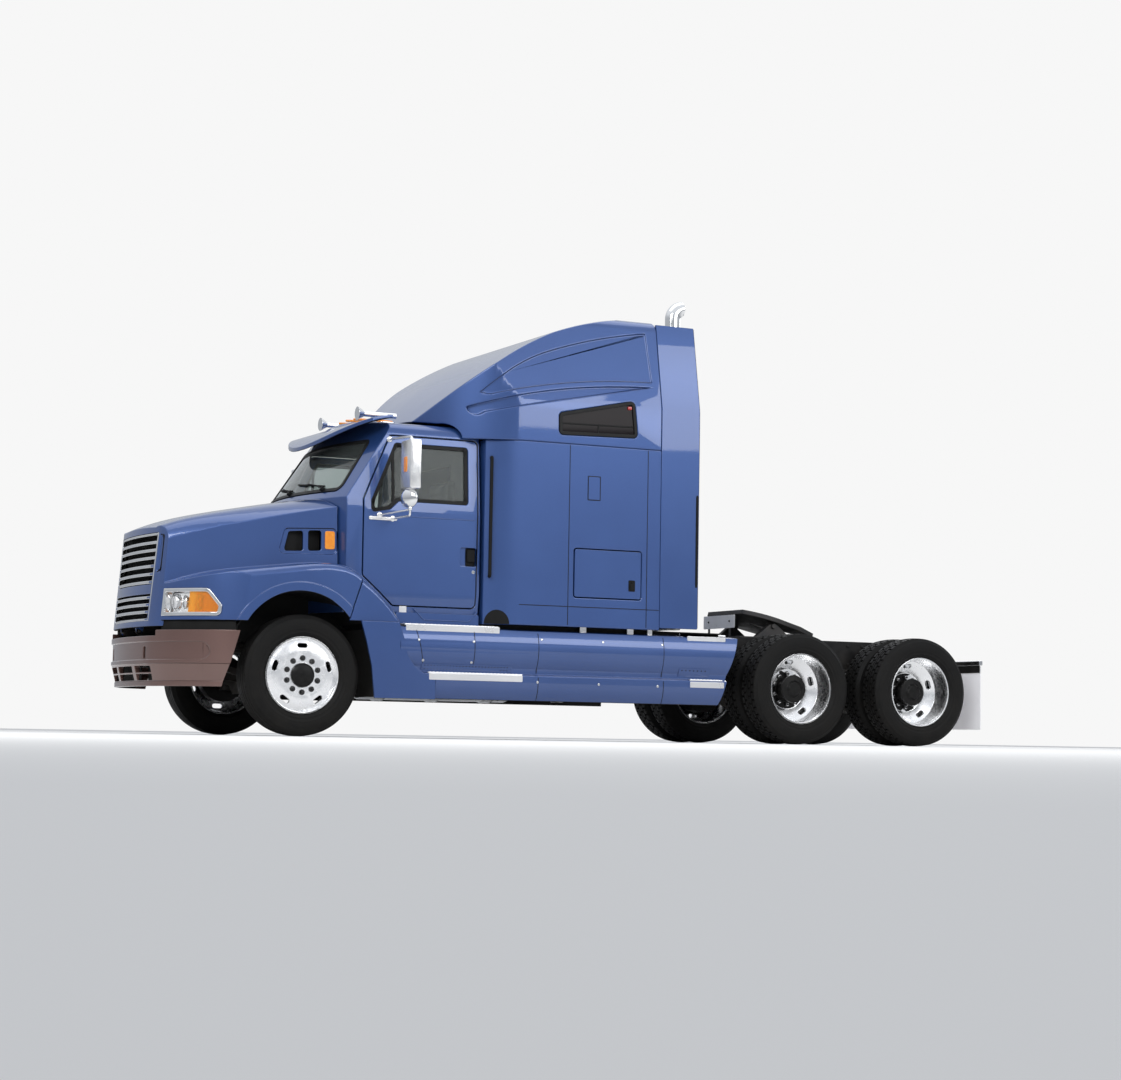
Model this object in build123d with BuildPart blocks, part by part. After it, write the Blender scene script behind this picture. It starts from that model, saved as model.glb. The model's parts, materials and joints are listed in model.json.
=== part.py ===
from build123d import *
import os

os.makedirs("parts", exist_ok=True)

# A conventional highway tractor with a raised-roof sleeper, in millimetres.
# X runs rearwards and is 0 midway between bumper and mudflap bar, the truck's left
# side is at -Y, and Z is the height above the road.

# Wheelbase and wheels
AX = -2837.5                              # front axle
DRIVE_AX = (AX + 4860.0, AX + 6180.0)     # the two drive axles
AXLE_Z = 512.0                            # axle height, which is also the tyre radius
BEAD_R = 311.0                            # tyre seat on the rim
FLANGE_R = 324.0
RIM_WALL = 12.0
BEAD_HALF = 105.0                         # half the distance between the rim flanges
TYRE_HALF = 142.0                         # half the section width
STEER_Y = 1020.0                          # centre plane of a front tyre
TWIN_Y = (741.5, 1076.5)                  # centre planes of a pair of drive tyres
TWIN_MID = 909.0                          # where the two discs of a pair meet
HUB_BORE = 46.0
SPINDLE_R = 40.0
KINGPIN_Y = 850.0
ARM_X = 170.0                             # steering arm, kingpin to ball joint
TIE_Z = 385.0

# Frame
RAIL_OUT = 432.0                          # outer face of a rail
RAIL_W = 89.0
RAIL_H = 267.0
RAIL_T = 9.0
RAIL_TOP = 1000.0
RAIL_FRONT = AX - 930.0
RAIL_REAR = AX + 6850.0

# Cab
CAB_BACK = AX + 1650.0
CAB_FRONT = AX + 425.0                    # cowl at the sides
CAB_NOSE = AX + 190.0                     # cowl on the centre line
CAB_SILL = 1060.0
CAB_BELT = 2050.0
CAB_HALF = 1050.0
CAB_WALL = 45.0
SCREEN_SLOPE = 0.69                       # rearward lean of the windscreen per unit of height
DOOR_GAP = 10.0
DOOR_T = 60.0

# Sleeper, roof and side panels
SLEEPER_FRONT = AX + 1670.0
SLEEPER_SHOULDER = AX + 1950.0            # where the slanted front corner meets the side
SLEEPER_BACK = AX + 3350.0
SLEEPER_HALF = 1220.0
SLEEPER_FLOOR = 1000.0
SLEEPER_TOP = 2620.0
SLEEPER_WALL = 45.0
EXTENDER_BACK = AX + 3740.0
FAIRING_T = 40.0
SKIRT_OUT = 1220.0

# Hood, its pivot and the front end
HOOD_T = 24.0
FRONT_LEAN = 0.082                        # rearward lean of the grille per unit of height
NOSE_MID = -1202.0                        # foot of the bowed front on the centre line
NOSE_EDGE = -1157.0                       # and where it turns into the corners
NOSE_HALF = 530.0
NOSE_Z = 900.0                            # lower edge of the hood under the grille
FENDER_LOW = 950.0                        # lower edge of the fenders
GRILLE_HALF = 530.0                       # at its top
GRILLE_FOOT = 500.0                       # and at its foot
GRILLE_TOP = 1696.0
GRILLE_LOW = 950.0
HOOD_LUG_Y = 225.0
PIVOT_PIN_R = 14.0
PIVOT_X = AX - 1150.0
PIVOT_Z = 868.0


def both_sides(piece):
    """The piece and its mirror image across the centre line, in one part."""
    with BuildPart() as pair:
        add(piece)
        mirror(piece, about=Plane.XZ)
    return pair.part


def axle_plane(x):
    """A plane through an axle, with the axle as its local X axis."""
    return Plane(origin=(x, 0.0, AXLE_Z), x_dir=(0, 1, 0), z_dir=(1, 0, 0))


def save(part, name):
    part.label = name
    export_step(part, f"parts/{name}.step")


# Frame rails: two pressed channels, open inwards
with BuildPart() as frame_rails:
    with BuildSketch(Plane.YZ.offset(RAIL_FRONT)):
        with Locations((-RAIL_OUT + RAIL_W / 2, RAIL_TOP - RAIL_H / 2)):
            Rectangle(RAIL_W, RAIL_H)
        with Locations((-RAIL_OUT + RAIL_W / 2 + RAIL_T, RAIL_TOP - RAIL_H / 2)):
            Rectangle(RAIL_W, RAIL_H - 2 * RAIL_T, mode=Mode.SUBTRACT)
    extrude(amount=RAIL_REAR - RAIL_FRONT)
    mirror(about=Plane.XZ)
save(frame_rails.part, "frame_rails")

# Cross members: channels between the webs of the rails, at these distances behind the axle
CROSS_X = (-870.0, 1810.0, 2700.0, 3700.0, 5520.0, 6790.0)
CROSS_W = 110.0
CROSS_H = 200.0
with BuildPart() as crossmembers:
    with BuildSketch(Plane.XZ):
        with Locations(*[(AX + x, RAIL_TOP - RAIL_H / 2) for x in CROSS_X]):
            Rectangle(CROSS_W, CROSS_H)
        with Locations(*[(AX + x + RAIL_T, RAIL_TOP - RAIL_H / 2) for x in CROSS_X]):
            Rectangle(CROSS_W, CROSS_H - 2 * RAIL_T, mode=Mode.SUBTRACT)
    extrude(amount=RAIL_OUT - RAIL_T, both=True)
save(crossmembers.part, "crossmembers")

# Front axle: a forged beam, dropped in the middle, with an upright boss for each kingpin
BEAM_HALF = 45.0
BOSS_R = 45.0
BOSS_HALF = 60.0
KINGPIN_R = 20.0
FORK_GAP = 6.0
FORK_T = 40.0
with BuildPart() as front_axle:
    with BuildSketch(Plane.YZ.offset(AX)):
        with BuildLine():
            Polyline(
                (-KINGPIN_Y, 545.0),
                (-640.0, 545.0),
                (-520.0, 470.0),
                (520.0, 470.0),
                (640.0, 545.0),
                (KINGPIN_Y, 545.0),
                (KINGPIN_Y, 470.0),
                (660.0, 450.0),
                (540.0, 365.0),
                (-540.0, 365.0),
                (-660.0, 450.0),
                (-KINGPIN_Y, 470.0),
                close=True,
            )
        make_face()
    extrude(amount=BEAM_HALF, both=True)
    with BuildSketch(Plane.XY.offset(AXLE_Z - BOSS_HALF)):
        with Locations((AX, -KINGPIN_Y), (AX, KINGPIN_Y)):
            Circle(BOSS_R)
    extrude(amount=2 * BOSS_HALF)
    with BuildSketch(Plane.XY.offset(AXLE_Z - BOSS_HALF - FORK_GAP - FORK_T)):
        with Locations((AX, -KINGPIN_Y), (AX, KINGPIN_Y)):
            Circle(KINGPIN_R)
    extrude(amount=2 * (BOSS_HALF + FORK_GAP + FORK_T))
save(front_axle.part, "front_axle")

# Front springs: a curved leaf pack under each rail, with its hangers and axle clamp
SPRING_W = 90.0
SPRING_T = 60.0
SPRING_HALF = 690.0
SPRING_Y = RAIL_OUT - RAIL_W / 2
with BuildPart() as leaf_springs:
    with BuildSketch(Plane.XZ.offset(SPRING_Y - SPRING_W / 2)):
        with BuildLine():
            ThreePointArc((AX - SPRING_HALF, 690.0), (AX, 535.0), (AX + SPRING_HALF, 690.0))
            Line((AX + SPRING_HALF, 690.0), (AX + SPRING_HALF, 690.0 - SPRING_T / 2))
            ThreePointArc(
                (AX + SPRING_HALF, 690.0 - SPRING_T / 2),
                (AX, 535.0 - SPRING_T),
                (AX - SPRING_HALF, 690.0 - SPRING_T / 2),
            )
            Line((AX - SPRING_HALF, 690.0 - SPRING_T / 2), (AX - SPRING_HALF, 690.0))
        make_face()
        with Locations((AX - SPRING_HALF + 30.0, 700.0), (AX + SPRING_HALF - 30.0, 700.0)):
            Rectangle(70.0, 2 * (RAIL_TOP - RAIL_H - 700.0))
        with Locations((AX, 510.0)):
            Rectangle(160.0, 80.0)
    extrude(amount=SPRING_W)
    mirror(about=Plane.XZ)
save(leaf_springs.part, "leaf_springs")

# Steering knuckle: a fork round the boss, the wheel spindle and the arm to the tie rod
FORK_R = 48.0
WEB_Y = KINGPIN_Y + 62.0
STUD_R = 11.0
EYE_R = 20.0
EYE_T = 34.0
ROD_R = 17.0
ROD_END = KINGPIN_Y - 15.0
WEB_T = 22.0
with BuildPart() as knuckle_left:
    for low in (AXLE_Z - BOSS_HALF - FORK_GAP - FORK_T, AXLE_Z + BOSS_HALF + FORK_GAP):
        with BuildSketch(Plane.XY.offset(low)):
            with Locations((AX, -KINGPIN_Y)):
                Circle(FORK_R)
            with Locations((AX, -(KINGPIN_Y + WEB_Y + WEB_T) / 2)):
                Rectangle(2 * FORK_R, WEB_Y + WEB_T - KINGPIN_Y)
            with Locations((AX, -KINGPIN_Y)):
                Circle(KINGPIN_R + 0.5, mode=Mode.SUBTRACT)
        extrude(amount=FORK_T)
    with BuildSketch(Plane.XZ.offset(WEB_Y)):
        with Locations((AX, AXLE_Z)):
            Rectangle(2 * FORK_R, 2 * (BOSS_HALF + FORK_GAP + FORK_T))
    extrude(amount=WEB_T)
    with BuildSketch(Plane.XZ.offset(WEB_Y)):
        with Locations((AX, AXLE_Z)):
            Circle(SPINDLE_R)
    extrude(amount=170.0)
    with BuildSketch(Plane.XY.offset(AXLE_Z - BOSS_HALF - FORK_GAP - FORK_T)):
        with Locations((AX + ARM_X, -KINGPIN_Y)):
            Circle(30.0)
        with Locations((AX + (FORK_R - 8.0 + ARM_X) / 2, -KINGPIN_Y)):
            Rectangle(ARM_X - FORK_R + 8.0, 44.0)
    extrude(amount=26.0)
    with BuildSketch(Plane.XY.offset(TIE_Z - 8.0)):
        with Locations((AX + ARM_X, -KINGPIN_Y)):
            Circle(STUD_R)
    extrude(amount=AXLE_Z - BOSS_HALF - FORK_GAP - FORK_T - TIE_Z + 8.0)
save(knuckle_left.part, "knuckle_left")
with BuildPart() as knuckle_right:
    mirror(knuckle_left.part, about=Plane.XZ)
save(knuckle_right.part, "knuckle_right")

# Tie rod: a tube with an eye at each end, which hangs on the studs of the steering arms
with BuildPart() as tie_rod:
    with BuildSketch(Plane.XZ.offset(-ROD_END)):
        with Locations((AX + ARM_X, TIE_Z)):
            Circle(ROD_R)
    extrude(amount=2 * ROD_END)
    with BuildSketch(Plane.XY.offset(TIE_Z - EYE_T / 2)):
        with Locations((AX + ARM_X, -KINGPIN_Y), (AX + ARM_X, KINGPIN_Y)):
            Circle(EYE_R)
    extrude(amount=EYE_T)
    with BuildSketch(Plane.XY.offset(TIE_Z - EYE_T / 2)):
        with Locations((AX + ARM_X, -KINGPIN_Y), (AX + ARM_X, KINGPIN_Y)):
            Circle(STUD_R + 1.0)
    extrude(amount=EYE_T, mode=Mode.SUBTRACT)
save(tie_rod.part, "tie_rod")


def tyre_section(centre):
    """Half section of a tyre, with the axle as its local X axis."""
    with BuildSketch() as section:
        with BuildLine():
            Polyline(
                (centre - BEAD_HALF, FLANGE_R + 3.0),
                (centre - BEAD_HALF, BEAD_R),
                (centre + BEAD_HALF, BEAD_R),
                (centre + BEAD_HALF, FLANGE_R + 3.0),
            )
            for side in (-1, 1):
                ThreePointArc(
                    (centre + side * BEAD_HALF, FLANGE_R + 3.0),
                    (centre + side * TYRE_HALF, 408.0),
                    (centre + side * 122.0, 488.0),
                )
                Line((centre + side * 122.0, 488.0), (centre + side * 108.0, 505.0))
            ThreePointArc((centre - 108.0, 505.0), (centre, AXLE_Z), (centre + 108.0, 505.0))
        make_face()
    return section.sketch


# Tyres: one on each steered wheel, and a pair on each drive wheel, as one body
WHEELS = (
    ("front", AX, (STEER_Y,)),
    ("drive_1", DRIVE_AX[0], TWIN_Y),
    ("drive_2", DRIVE_AX[1], TWIN_Y),
)
for place, x, centres in WHEELS:
    for side, sign in (("left", -1), ("right", 1)):
        with BuildPart() as tyre:
            with BuildSketch(axle_plane(x)):
                for centre in centres:
                    add(tyre_section(sign * centre))
            revolve(axis=Axis((x, 0, AXLE_Z), (0, 1, 0)))
        save(tyre.part, f"tyres_{place}_{side}")


def rim_section(centre, sign):
    """Half section of a rim barrel with a flange at each edge."""
    inner = centre - BEAD_HALF
    outer = centre + BEAD_HALF
    with BuildSketch() as section:
        with BuildLine():
            Polyline(
                (sign * (inner - RIM_WALL), FLANGE_R),
                (sign * inner, FLANGE_R),
                (sign * inner, BEAD_R),
                (sign * outer, BEAD_R),
                (sign * outer, FLANGE_R),
                (sign * (outer + RIM_WALL), FLANGE_R),
                (sign * (outer + RIM_WALL), FLANGE_R - RIM_WALL),
                (sign * (outer - 30.0), BEAD_R - RIM_WALL),
                (sign * (inner + 30.0), BEAD_R - RIM_WALL),
                (sign * (inner - RIM_WALL), FLANGE_R - RIM_WALL),
                close=True,
            )
        make_face()
    return section.sketch


HAND_HOLES = 5
HAND_HOLE_R = 249.0
NUTS = 10
NUT_PCD_R = 142.9

# Front wheels: polished disc wheels that dome outwards, on a hub with its brake drum
for side, sign in (("left", -1), ("right", 1)):
    with BuildPart() as front_wheel:
        with BuildSketch(axle_plane(AX)):
            add(rim_section(STEER_Y, sign))
            with BuildLine():
                Polyline(
                    (sign * 1085.0, BEAD_R - 5.0),
                    (sign * 1105.0, BEAD_R - 5.0),
                    (sign * 1122.0, 268.0),
                    (sign * 1134.0, 190.0),
                    (sign * 1134.0, 60.0),
                    (sign * 1110.0, 60.0),
                    (sign * 1110.0, 185.0),
                    (sign * 1098.0, 262.0),
                    close=True,
                )
            make_face()
            with BuildLine():
                Polyline(
                    (sign * 942.0, HUB_BORE),
                    (sign * 942.0, 212.0),
                    (sign * 1060.0, 212.0),
                    (sign * 1060.0, 165.0),
                    (sign * 1115.0, 165.0),
                    (sign * 1134.0, 104.0),
                    (sign * 1160.0, 100.0),
                    (sign * 1176.0, 70.0),
                    (sign * 1180.0, 0.0),
                    (sign * 1095.0, 0.0),
                    (sign * 1095.0, HUB_BORE),
                    close=True,
                )
            make_face()
        revolve(axis=Axis((AX, 0, AXLE_Z), (0, 1, 0)))
        face_plane = Plane(origin=(AX, sign * 1150.0, AXLE_Z), x_dir=(1, 0, 0), z_dir=(0, sign, 0))
        with BuildSketch(face_plane):
            with PolarLocations(HAND_HOLE_R, HAND_HOLES, start_angle=90.0):
                SlotOverall(92.0, 40.0, rotation=90.0)
        extrude(amount=-85.0, mode=Mode.SUBTRACT)
        with BuildSketch(face_plane.offset(-16.0)):
            with PolarLocations(NUT_PCD_R, NUTS, start_angle=18.0):
                RegularPolygon(17.0, 6)
        extrude(amount=22.0)
    save(front_wheel.part, f"wheel_front_{side}")

# Drive wheels: a pair of dished discs bolted back to back on a long hub and drum
for place, x in (("drive_1", DRIVE_AX[0]), ("drive_2", DRIVE_AX[1])):
    for side, sign in (("left", -1), ("right", 1)):
        with BuildPart() as drive_wheel:
            with BuildSketch(axle_plane(x)):
                for centre in TWIN_Y:
                    add(rim_section(centre, sign))
                for out in (-1, 1):
                    with BuildLine():
                        Polyline(
                            (sign * (TWIN_MID + out * 66.0), BEAD_R - 5.0),
                            (sign * (TWIN_MID + out * 92.0), BEAD_R - 5.0),
                            (sign * (TWIN_MID + out * 46.0), 222.0),
                            (sign * (TWIN_MID + out * 22.0), 185.0),
                            (sign * (TWIN_MID + out * 22.0), 100.0),
                            (sign * TWIN_MID, 100.0),
                            (sign * TWIN_MID, 190.0),
                            (sign * (TWIN_MID + out * 22.0), 232.0),
                            close=True,
                        )
                    make_face()
                with BuildLine():
                    Polyline(
                        (sign * 640.0, HUB_BORE),
                        (sign * 640.0, 212.0),
                        (sign * 850.0, 212.0),
                        (sign * 887.0, 165.0),
                        (sign * 920.0, 165.0),
                        (sign * 932.0, 112.0),
                        (sign * 1040.0, 104.0),
                        (sign * 1040.0, 128.0),
                        (sign * 1062.0, 128.0),
                        (sign * 1068.0, 80.0),
                        (sign * 1092.0, 60.0),
                        (sign * 1092.0, 0.0),
                        (sign * 1000.0, 0.0),
                        (sign * 1000.0, HUB_BORE),
                        close=True,
                    )
                make_face()
            revolve(axis=Axis((x, 0, AXLE_Z), (0, 1, 0)))
            face_plane = Plane(origin=(x, sign * 1010.0, AXLE_Z), x_dir=(1, 0, 0), z_dir=(0, sign, 0))
            with BuildSketch(face_plane):
                with PolarLocations(HAND_HOLE_R, HAND_HOLES, start_angle=90.0):
                    SlotOverall(86.0, 40.0, rotation=90.0)
            extrude(amount=-190.0, mode=Mode.SUBTRACT)
            with BuildSketch(face_plane.offset(-79.0)):
                with PolarLocations(NUT_PCD_R, NUTS, start_angle=18.0):
                    RegularPolygon(17.0, 6)
            extrude(amount=26.0)
        save(drive_wheel.part, f"wheel_{place}_{side}")

# Drive axles: a tube with a round gear housing in the middle and a pinion nose in front
HOUSING_R = 68.0
BOWL_R = 205.0
with BuildPart() as drive_axles:
    for x in DRIVE_AX:
        with BuildSketch(Plane.XZ.offset(-620.0)):
            with Locations((x, AXLE_Z)):
                Circle(HOUSING_R)
        extrude(amount=1240.0)
        with BuildSketch(Plane.XZ.offset(-960.0)):
            with Locations((x, AXLE_Z)):
                Circle(SPINDLE_R)
        extrude(amount=1920.0)
        with BuildSketch(axle_plane(x)):
            with BuildLine():
                Polyline((-150.0, 0.0), (-150.0, 90.0))
                ThreePointArc((-150.0, 90.0), (-105.0, 165.0), (-40.0, BOWL_R))
                Line((-40.0, BOWL_R), (40.0, BOWL_R))
                ThreePointArc((40.0, BOWL_R), (105.0, 165.0), (150.0, 90.0))
                Polyline((150.0, 90.0), (150.0, 0.0), (-150.0, 0.0))
            make_face()
        revolve(axis=Axis((x, 0, AXLE_Z), (0, 1, 0)))
        with BuildSketch(Plane.YZ.offset(x - 340.0)):
            with Locations((0.0, AXLE_Z + 30.0)):
                Circle(82.0)
        extrude(amount=300.0)
save(drive_axles.part, "drive_axles")

# Propeller shafts: gearbox to the first drive axle, and on to the second
SHAFT_R = 50.0
with BuildPart() as propshafts:
    for start, end in ((AX + 1720.0, DRIVE_AX[0] - 340.0), (DRIVE_AX[0] + 205.0, DRIVE_AX[1] - 340.0)):
        with BuildSketch(Plane.YZ.offset(start)):
            with Locations((0.0, AXLE_Z + 30.0)):
                Circle(SHAFT_R)
        extrude(amount=end - start)
        with BuildSketch(Plane.YZ.offset(end - 60.0)):
            with Locations((0.0, AXLE_Z + 30.0)):
                Circle(76.0)
        extrude(amount=60.0)
save(propshafts.part, "propshafts")

# Air suspension: at each drive wheel a trailing arm, its hanger, an air spring and a damper
ARM_FRONT = -560.0
ARM_REAR = 390.0
BAG_X = 270.0
with BuildPart() as drive_suspension:
    for x in DRIVE_AX:
        with BuildSketch(Plane.XZ.offset(SPRING_Y - 45.0)):
            with BuildLine():
                Polyline(
                    (x + ARM_FRONT - 55.0, RAIL_TOP - RAIL_H),
                    (x + ARM_FRONT + 55.0, RAIL_TOP - RAIL_H),
                    (x + ARM_FRONT + 45.0, 640.0),
                    (x - 90.0, 650.0),
                    (x + 90.0, 650.0),
                    (x + 210.0, 560.0),
                    (x + ARM_REAR, 530.0),
                    (x + ARM_REAR, 480.0),
                    (x + 190.0, 500.0),
                    (x + 95.0, 582.0),
                    (x - 95.0, 582.0),
                    (x + ARM_FRONT + 60.0, 570.0),
                    (x + ARM_FRONT - 45.0, 590.0),
                    close=True,
                )
            make_face()
        extrude(amount=90.0)
        with BuildSketch(Plane.XY.offset(530.0)):
            with Locations((x + BAG_X, -SPRING_Y)):
                Circle(75.0)
        extrude(amount=40.0)
        with BuildSketch(Plane.XY.offset(570.0)):
            with Locations((x + BAG_X, -SPRING_Y)):
                Circle(118.0)
        extrude(amount=RAIL_TOP - RAIL_H - 570.0)
        with BuildSketch(Plane.YZ.offset(x - 50.0)):
            with BuildLine():
                Polyline(
                    (-RAIL_OUT, 850.0), (-RAIL_OUT - 34.0, 850.0), (-RAIL_OUT - 34.0, 584.0),
                    (-RAIL_OUT, 584.0), close=True,
                )
            make_face()
        extrude(amount=42.0)
    mirror(about=Plane.XZ)
save(drive_suspension.part, "drive_suspension")

# Engine and gearbox as one plain block, held between the rails
with BuildPart() as engine_block:
    with Locations((AX - 295.0, 0.0, 1100.0)):
        Box(930.0, 640.0, 780.0)
    with Locations((AX + 490.0, 0.0, 870.0)):
        Box(640.0, 560.0, 340.0)
    with BuildSketch(Plane.YZ.offset(AX + 810.0)):
        with Locations((0.0, 835.0)):
            Circle(200.0)
    extrude(amount=850.0, taper=4.0)
    with BuildSketch(Plane.YZ.offset(AX + 1640.0)):
        with Locations((0.0, 700.0)):
            Rectangle(120.0, 420.0)
    extrude(amount=80.0)
    for x in (AX - 500.0, AX + 640.0):
        with Locations((x, 0.0, 880.0)):
            Box(120.0, 2 * (RAIL_OUT - RAIL_T), 80.0)
save(engine_block.part, "engine_block")

# Radiator: an upright core in a frame, on the front cross member
with BuildPart() as radiator:
    with Locations((AX - 880.0, 0.0, 1305.0)):
        Box(90.0, 900.0, 610.0)
    with Locations((AX - 930.0, 0.0, 1305.0)):
        Box(30.0, 800.0, 520.0)
save(radiator.part, "radiator")

# Fuel tanks: a round tank on each side of the frame, behind the skirts
TANK_R = 300.0
TANK_Y = 790.0
TANK_Z = 650.0
STRAPS = (AX + 1450.0, AX + 2000.0, AX + 2550.0)
STRAP_W = 70.0
with BuildPart() as fuel_tanks:
    with BuildSketch(Plane.YZ.offset(AX + 1250.0)):
        with Locations((-TANK_Y, TANK_Z)):
            Circle(TANK_R)
    extrude(amount=1500.0)
    for x in STRAPS:
        with BuildSketch(Plane.YZ.offset(x - STRAP_W / 2)):
            with Locations((-TANK_Y, TANK_Z)):
                Circle(TANK_R + 8.0)
            with Locations(((-TANK_Y - RAIL_OUT) / 2, 860.0)):
                Rectangle(TANK_Y - RAIL_OUT, 90.0)
            with Locations((-(TANK_Y + 1120.0) / 2, 935.0)):
                Rectangle(1120.0 - TANK_Y, 30.0)
        extrude(amount=STRAP_W)
    mirror(about=Plane.XZ)
save(fuel_tanks.part, "fuel_tanks")


def cab_form(inset, back_inset=None):
    """The cab's outer form, or the same form drawn in by a wall's thickness."""
    nose = inset * 1.25
    back = CAB_BACK - (inset if back_inset is None else back_inset)
    with BuildPart() as leaning_front:
        with BuildSketch(Plane.XY.offset(CAB_BELT)):
            with BuildLine():
                ThreePointArc(
                    (CAB_FRONT + nose, -1100.0), (CAB_NOSE + nose, 0.0), (CAB_FRONT + nose, 1100.0)
                )
                Polyline((CAB_FRONT + nose, 1100.0), (CAB_BACK + 900.0, 1100.0))
                Polyline((CAB_BACK + 900.0, 1100.0), (CAB_BACK + 900.0, -1100.0))
                Polyline((CAB_BACK + 900.0, -1100.0), (CAB_FRONT + nose, -1100.0))
            make_face()
        extrude(amount=1100.0, dir=(SCREEN_SLOPE, 0.0, 1.0))
    with BuildPart() as upright_front:
        with BuildSketch(Plane.XY.offset(900.0)):
            with BuildLine():
                ThreePointArc(
                    (CAB_FRONT + nose, -1100.0), (CAB_NOSE + nose, 0.0), (CAB_FRONT + nose, 1100.0)
                )
                Polyline((CAB_FRONT + nose, 1100.0), (CAB_BACK + 900.0, 1100.0))
                Polyline((CAB_BACK + 900.0, 1100.0), (CAB_BACK + 900.0, -1100.0))
                Polyline((CAB_BACK + 900.0, -1100.0), (CAB_FRONT + nose, -1100.0))
            make_face()
        extrude(amount=CAB_BELT - 900.0)
        add(leaning_front.part)
    with BuildPart() as form:
        with BuildSketch(Plane.XZ):
            with BuildLine():
                Polyline(
                    (CAB_NOSE - 100.0, 2720.0 - inset),
                    (CAB_NOSE - 100.0, CAB_SILL + inset),
                    (back, CAB_SILL + inset),
                    (back, 2745.0 - inset),
                )
                ThreePointArc(
                    (back, 2745.0 - inset),
                    (AX + 1150.0, 2800.0 - inset),
                    (CAB_NOSE - 100.0, 2720.0 - inset),
                )
            make_face()
        extrude(amount=1100.0, both=True)
        with BuildSketch(Plane.YZ):
            with BuildLine():
                for side in (-1, 1):
                    Polyline(
                        (0.0, 1000.0 + inset),
                        (side * (CAB_HALF - 40.0 - inset), 1000.0 + inset),
                        (side * (CAB_HALF - inset), 1250.0),
                        (side * (CAB_HALF - 5.0 - inset), 1950.0),
                        (side * (985.0 - inset), 2610.0),
                    )
                    ThreePointArc(
                        (side * (985.0 - inset), 2610.0),
                        (side * (955.0 - inset), 2690.0 - inset * 0.6),
                        (side * 850.0, 2732.0 - inset),
                    )
                ThreePointArc((-850.0, 2732.0 - inset), (0.0, 2795.0 - inset), (850.0, 2732.0 - inset))
            make_face()
        extrude(amount=6000.0, both=True, mode=Mode.INTERSECT)
        add(upright_front.part, mode=Mode.INTERSECT)
    return form.part


# Door and window outlines seen from the side, as distances behind the axle and heights
DOOR_LINE = (
    (558.0, 1385.0),
    (845.0, 1138.0),
    (1612.0, 1138.0),
    (1628.0, 2604.0),
    (806.0, 2604.0),
    (558.0, 2040.0),
)
HANDLE_LINE = ((1462.0, 1500.0), (1615.0, 1500.0), (1615.0, 1662.0), (1462.0, 1662.0))
HANDLE_DEPTH = 28.0
WINDOW_LINE = (
    (625.0, 1925.0),
    (800.0, 1960.0),
    (880.0, 2035.0),
    (1535.0, 2035.0),
    (1540.0, 2545.0),
    (850.0, 2545.0),
    (625.0, 2030.0),
)


def side_outline(points, radius, grow):
    """A sheet on the left side, with its corners rounded."""
    with BuildSketch(Plane.XZ) as outline:
        with BuildLine():
            Polyline(*[(AX + x, z) for x, z in points], close=True)
        make_face()
        fillet(outline.vertices(), radius)
        if grow:
            offset(amount=grow)
    return outline.sketch


cab_outer = cab_form(0.0)
cab_inner = cab_form(CAB_WALL)
OPEN_BACK = -300.0                        # keeps the back wall out of a form for the sides
door_sheet = side_outline(DOOR_LINE, 40.0, 0.0)
doorway_sheet = side_outline(DOOR_LINE, 40.0, DOOR_GAP)
window_sheet = side_outline(WINDOW_LINE, 32.0, 0.0)

# Cab shell: floor, roof, pillars, cowl and back wall, with its doorways, screen and gangway
GANGWAY_HALF = 450.0
GANGWAY_LOW = 1150.0
GANGWAY_TOP = 2450.0
with BuildSketch(Plane.YZ.offset(AX)) as screen_sheet:
    with BuildLine():
        Polyline((-905.0, 2105.0), (-840.0, 2575.0), (840.0, 2575.0), (905.0, 2105.0), close=True)
    make_face()
    fillet(screen_sheet.vertices(), 60.0)
with BuildPart() as doorway:
    add(cab_form(-20.0, OPEN_BACK))
    add(cab_form(DOOR_T + DOOR_GAP, OPEN_BACK), mode=Mode.SUBTRACT)
    extrude(doorway_sheet, amount=1200.0, both=True, mode=Mode.INTERSECT)
with BuildPart() as cab_shell:
    add(cab_outer)
    add(cab_inner, mode=Mode.SUBTRACT)
    add(doorway.part, mode=Mode.SUBTRACT)
    extrude(screen_sheet.sketch, amount=900.0, mode=Mode.SUBTRACT)
    with Locations((CAB_BACK, 0.0, (GANGWAY_LOW + GANGWAY_TOP) / 2)):
        Box(200.0, 2 * GANGWAY_HALF, GANGWAY_TOP - GANGWAY_LOW, mode=Mode.SUBTRACT)
save(cab_shell.part, "cab_shell")

# Windscreen: one curved pane in the opening of the cab
with BuildPart() as windscreen:
    add(cab_form(8.0))
    add(cab_form(16.0), mode=Mode.SUBTRACT)
    extrude(screen_sheet.sketch, amount=900.0, mode=Mode.INTERSECT)
save(windscreen.part, "windscreen")

# Doors, with the wall of the cab as their outer skin, and their glass
with BuildPart() as handle_pocket:
    extrude(side_outline(HANDLE_LINE, 18.0, 0.0), amount=1200.0)
    add(cab_form(HANDLE_DEPTH, OPEN_BACK), mode=Mode.SUBTRACT)
with BuildPart() as door_left:
    add(cab_outer)
    add(cab_form(DOOR_T, OPEN_BACK), mode=Mode.SUBTRACT)
    extrude(door_sheet, amount=1200.0, mode=Mode.INTERSECT)
    extrude(window_sheet, amount=1200.0, mode=Mode.SUBTRACT)
    add(handle_pocket.part, mode=Mode.SUBTRACT)
save(door_left.part, "door_left")
with BuildPart() as door_right:
    mirror(door_left.part, about=Plane.XZ)
save(door_right.part, "door_right")
with BuildPart() as door_glass_left:
    add(cab_form(20.0))
    add(cab_form(28.0, OPEN_BACK), mode=Mode.SUBTRACT)
    extrude(window_sheet, amount=1200.0, mode=Mode.INTERSECT)
save(door_glass_left.part, "door_glass_left")
with BuildPart() as door_glass_right:
    mirror(door_glass_left.part, about=Plane.XZ)
save(door_glass_right.part, "door_glass_right")


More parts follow.
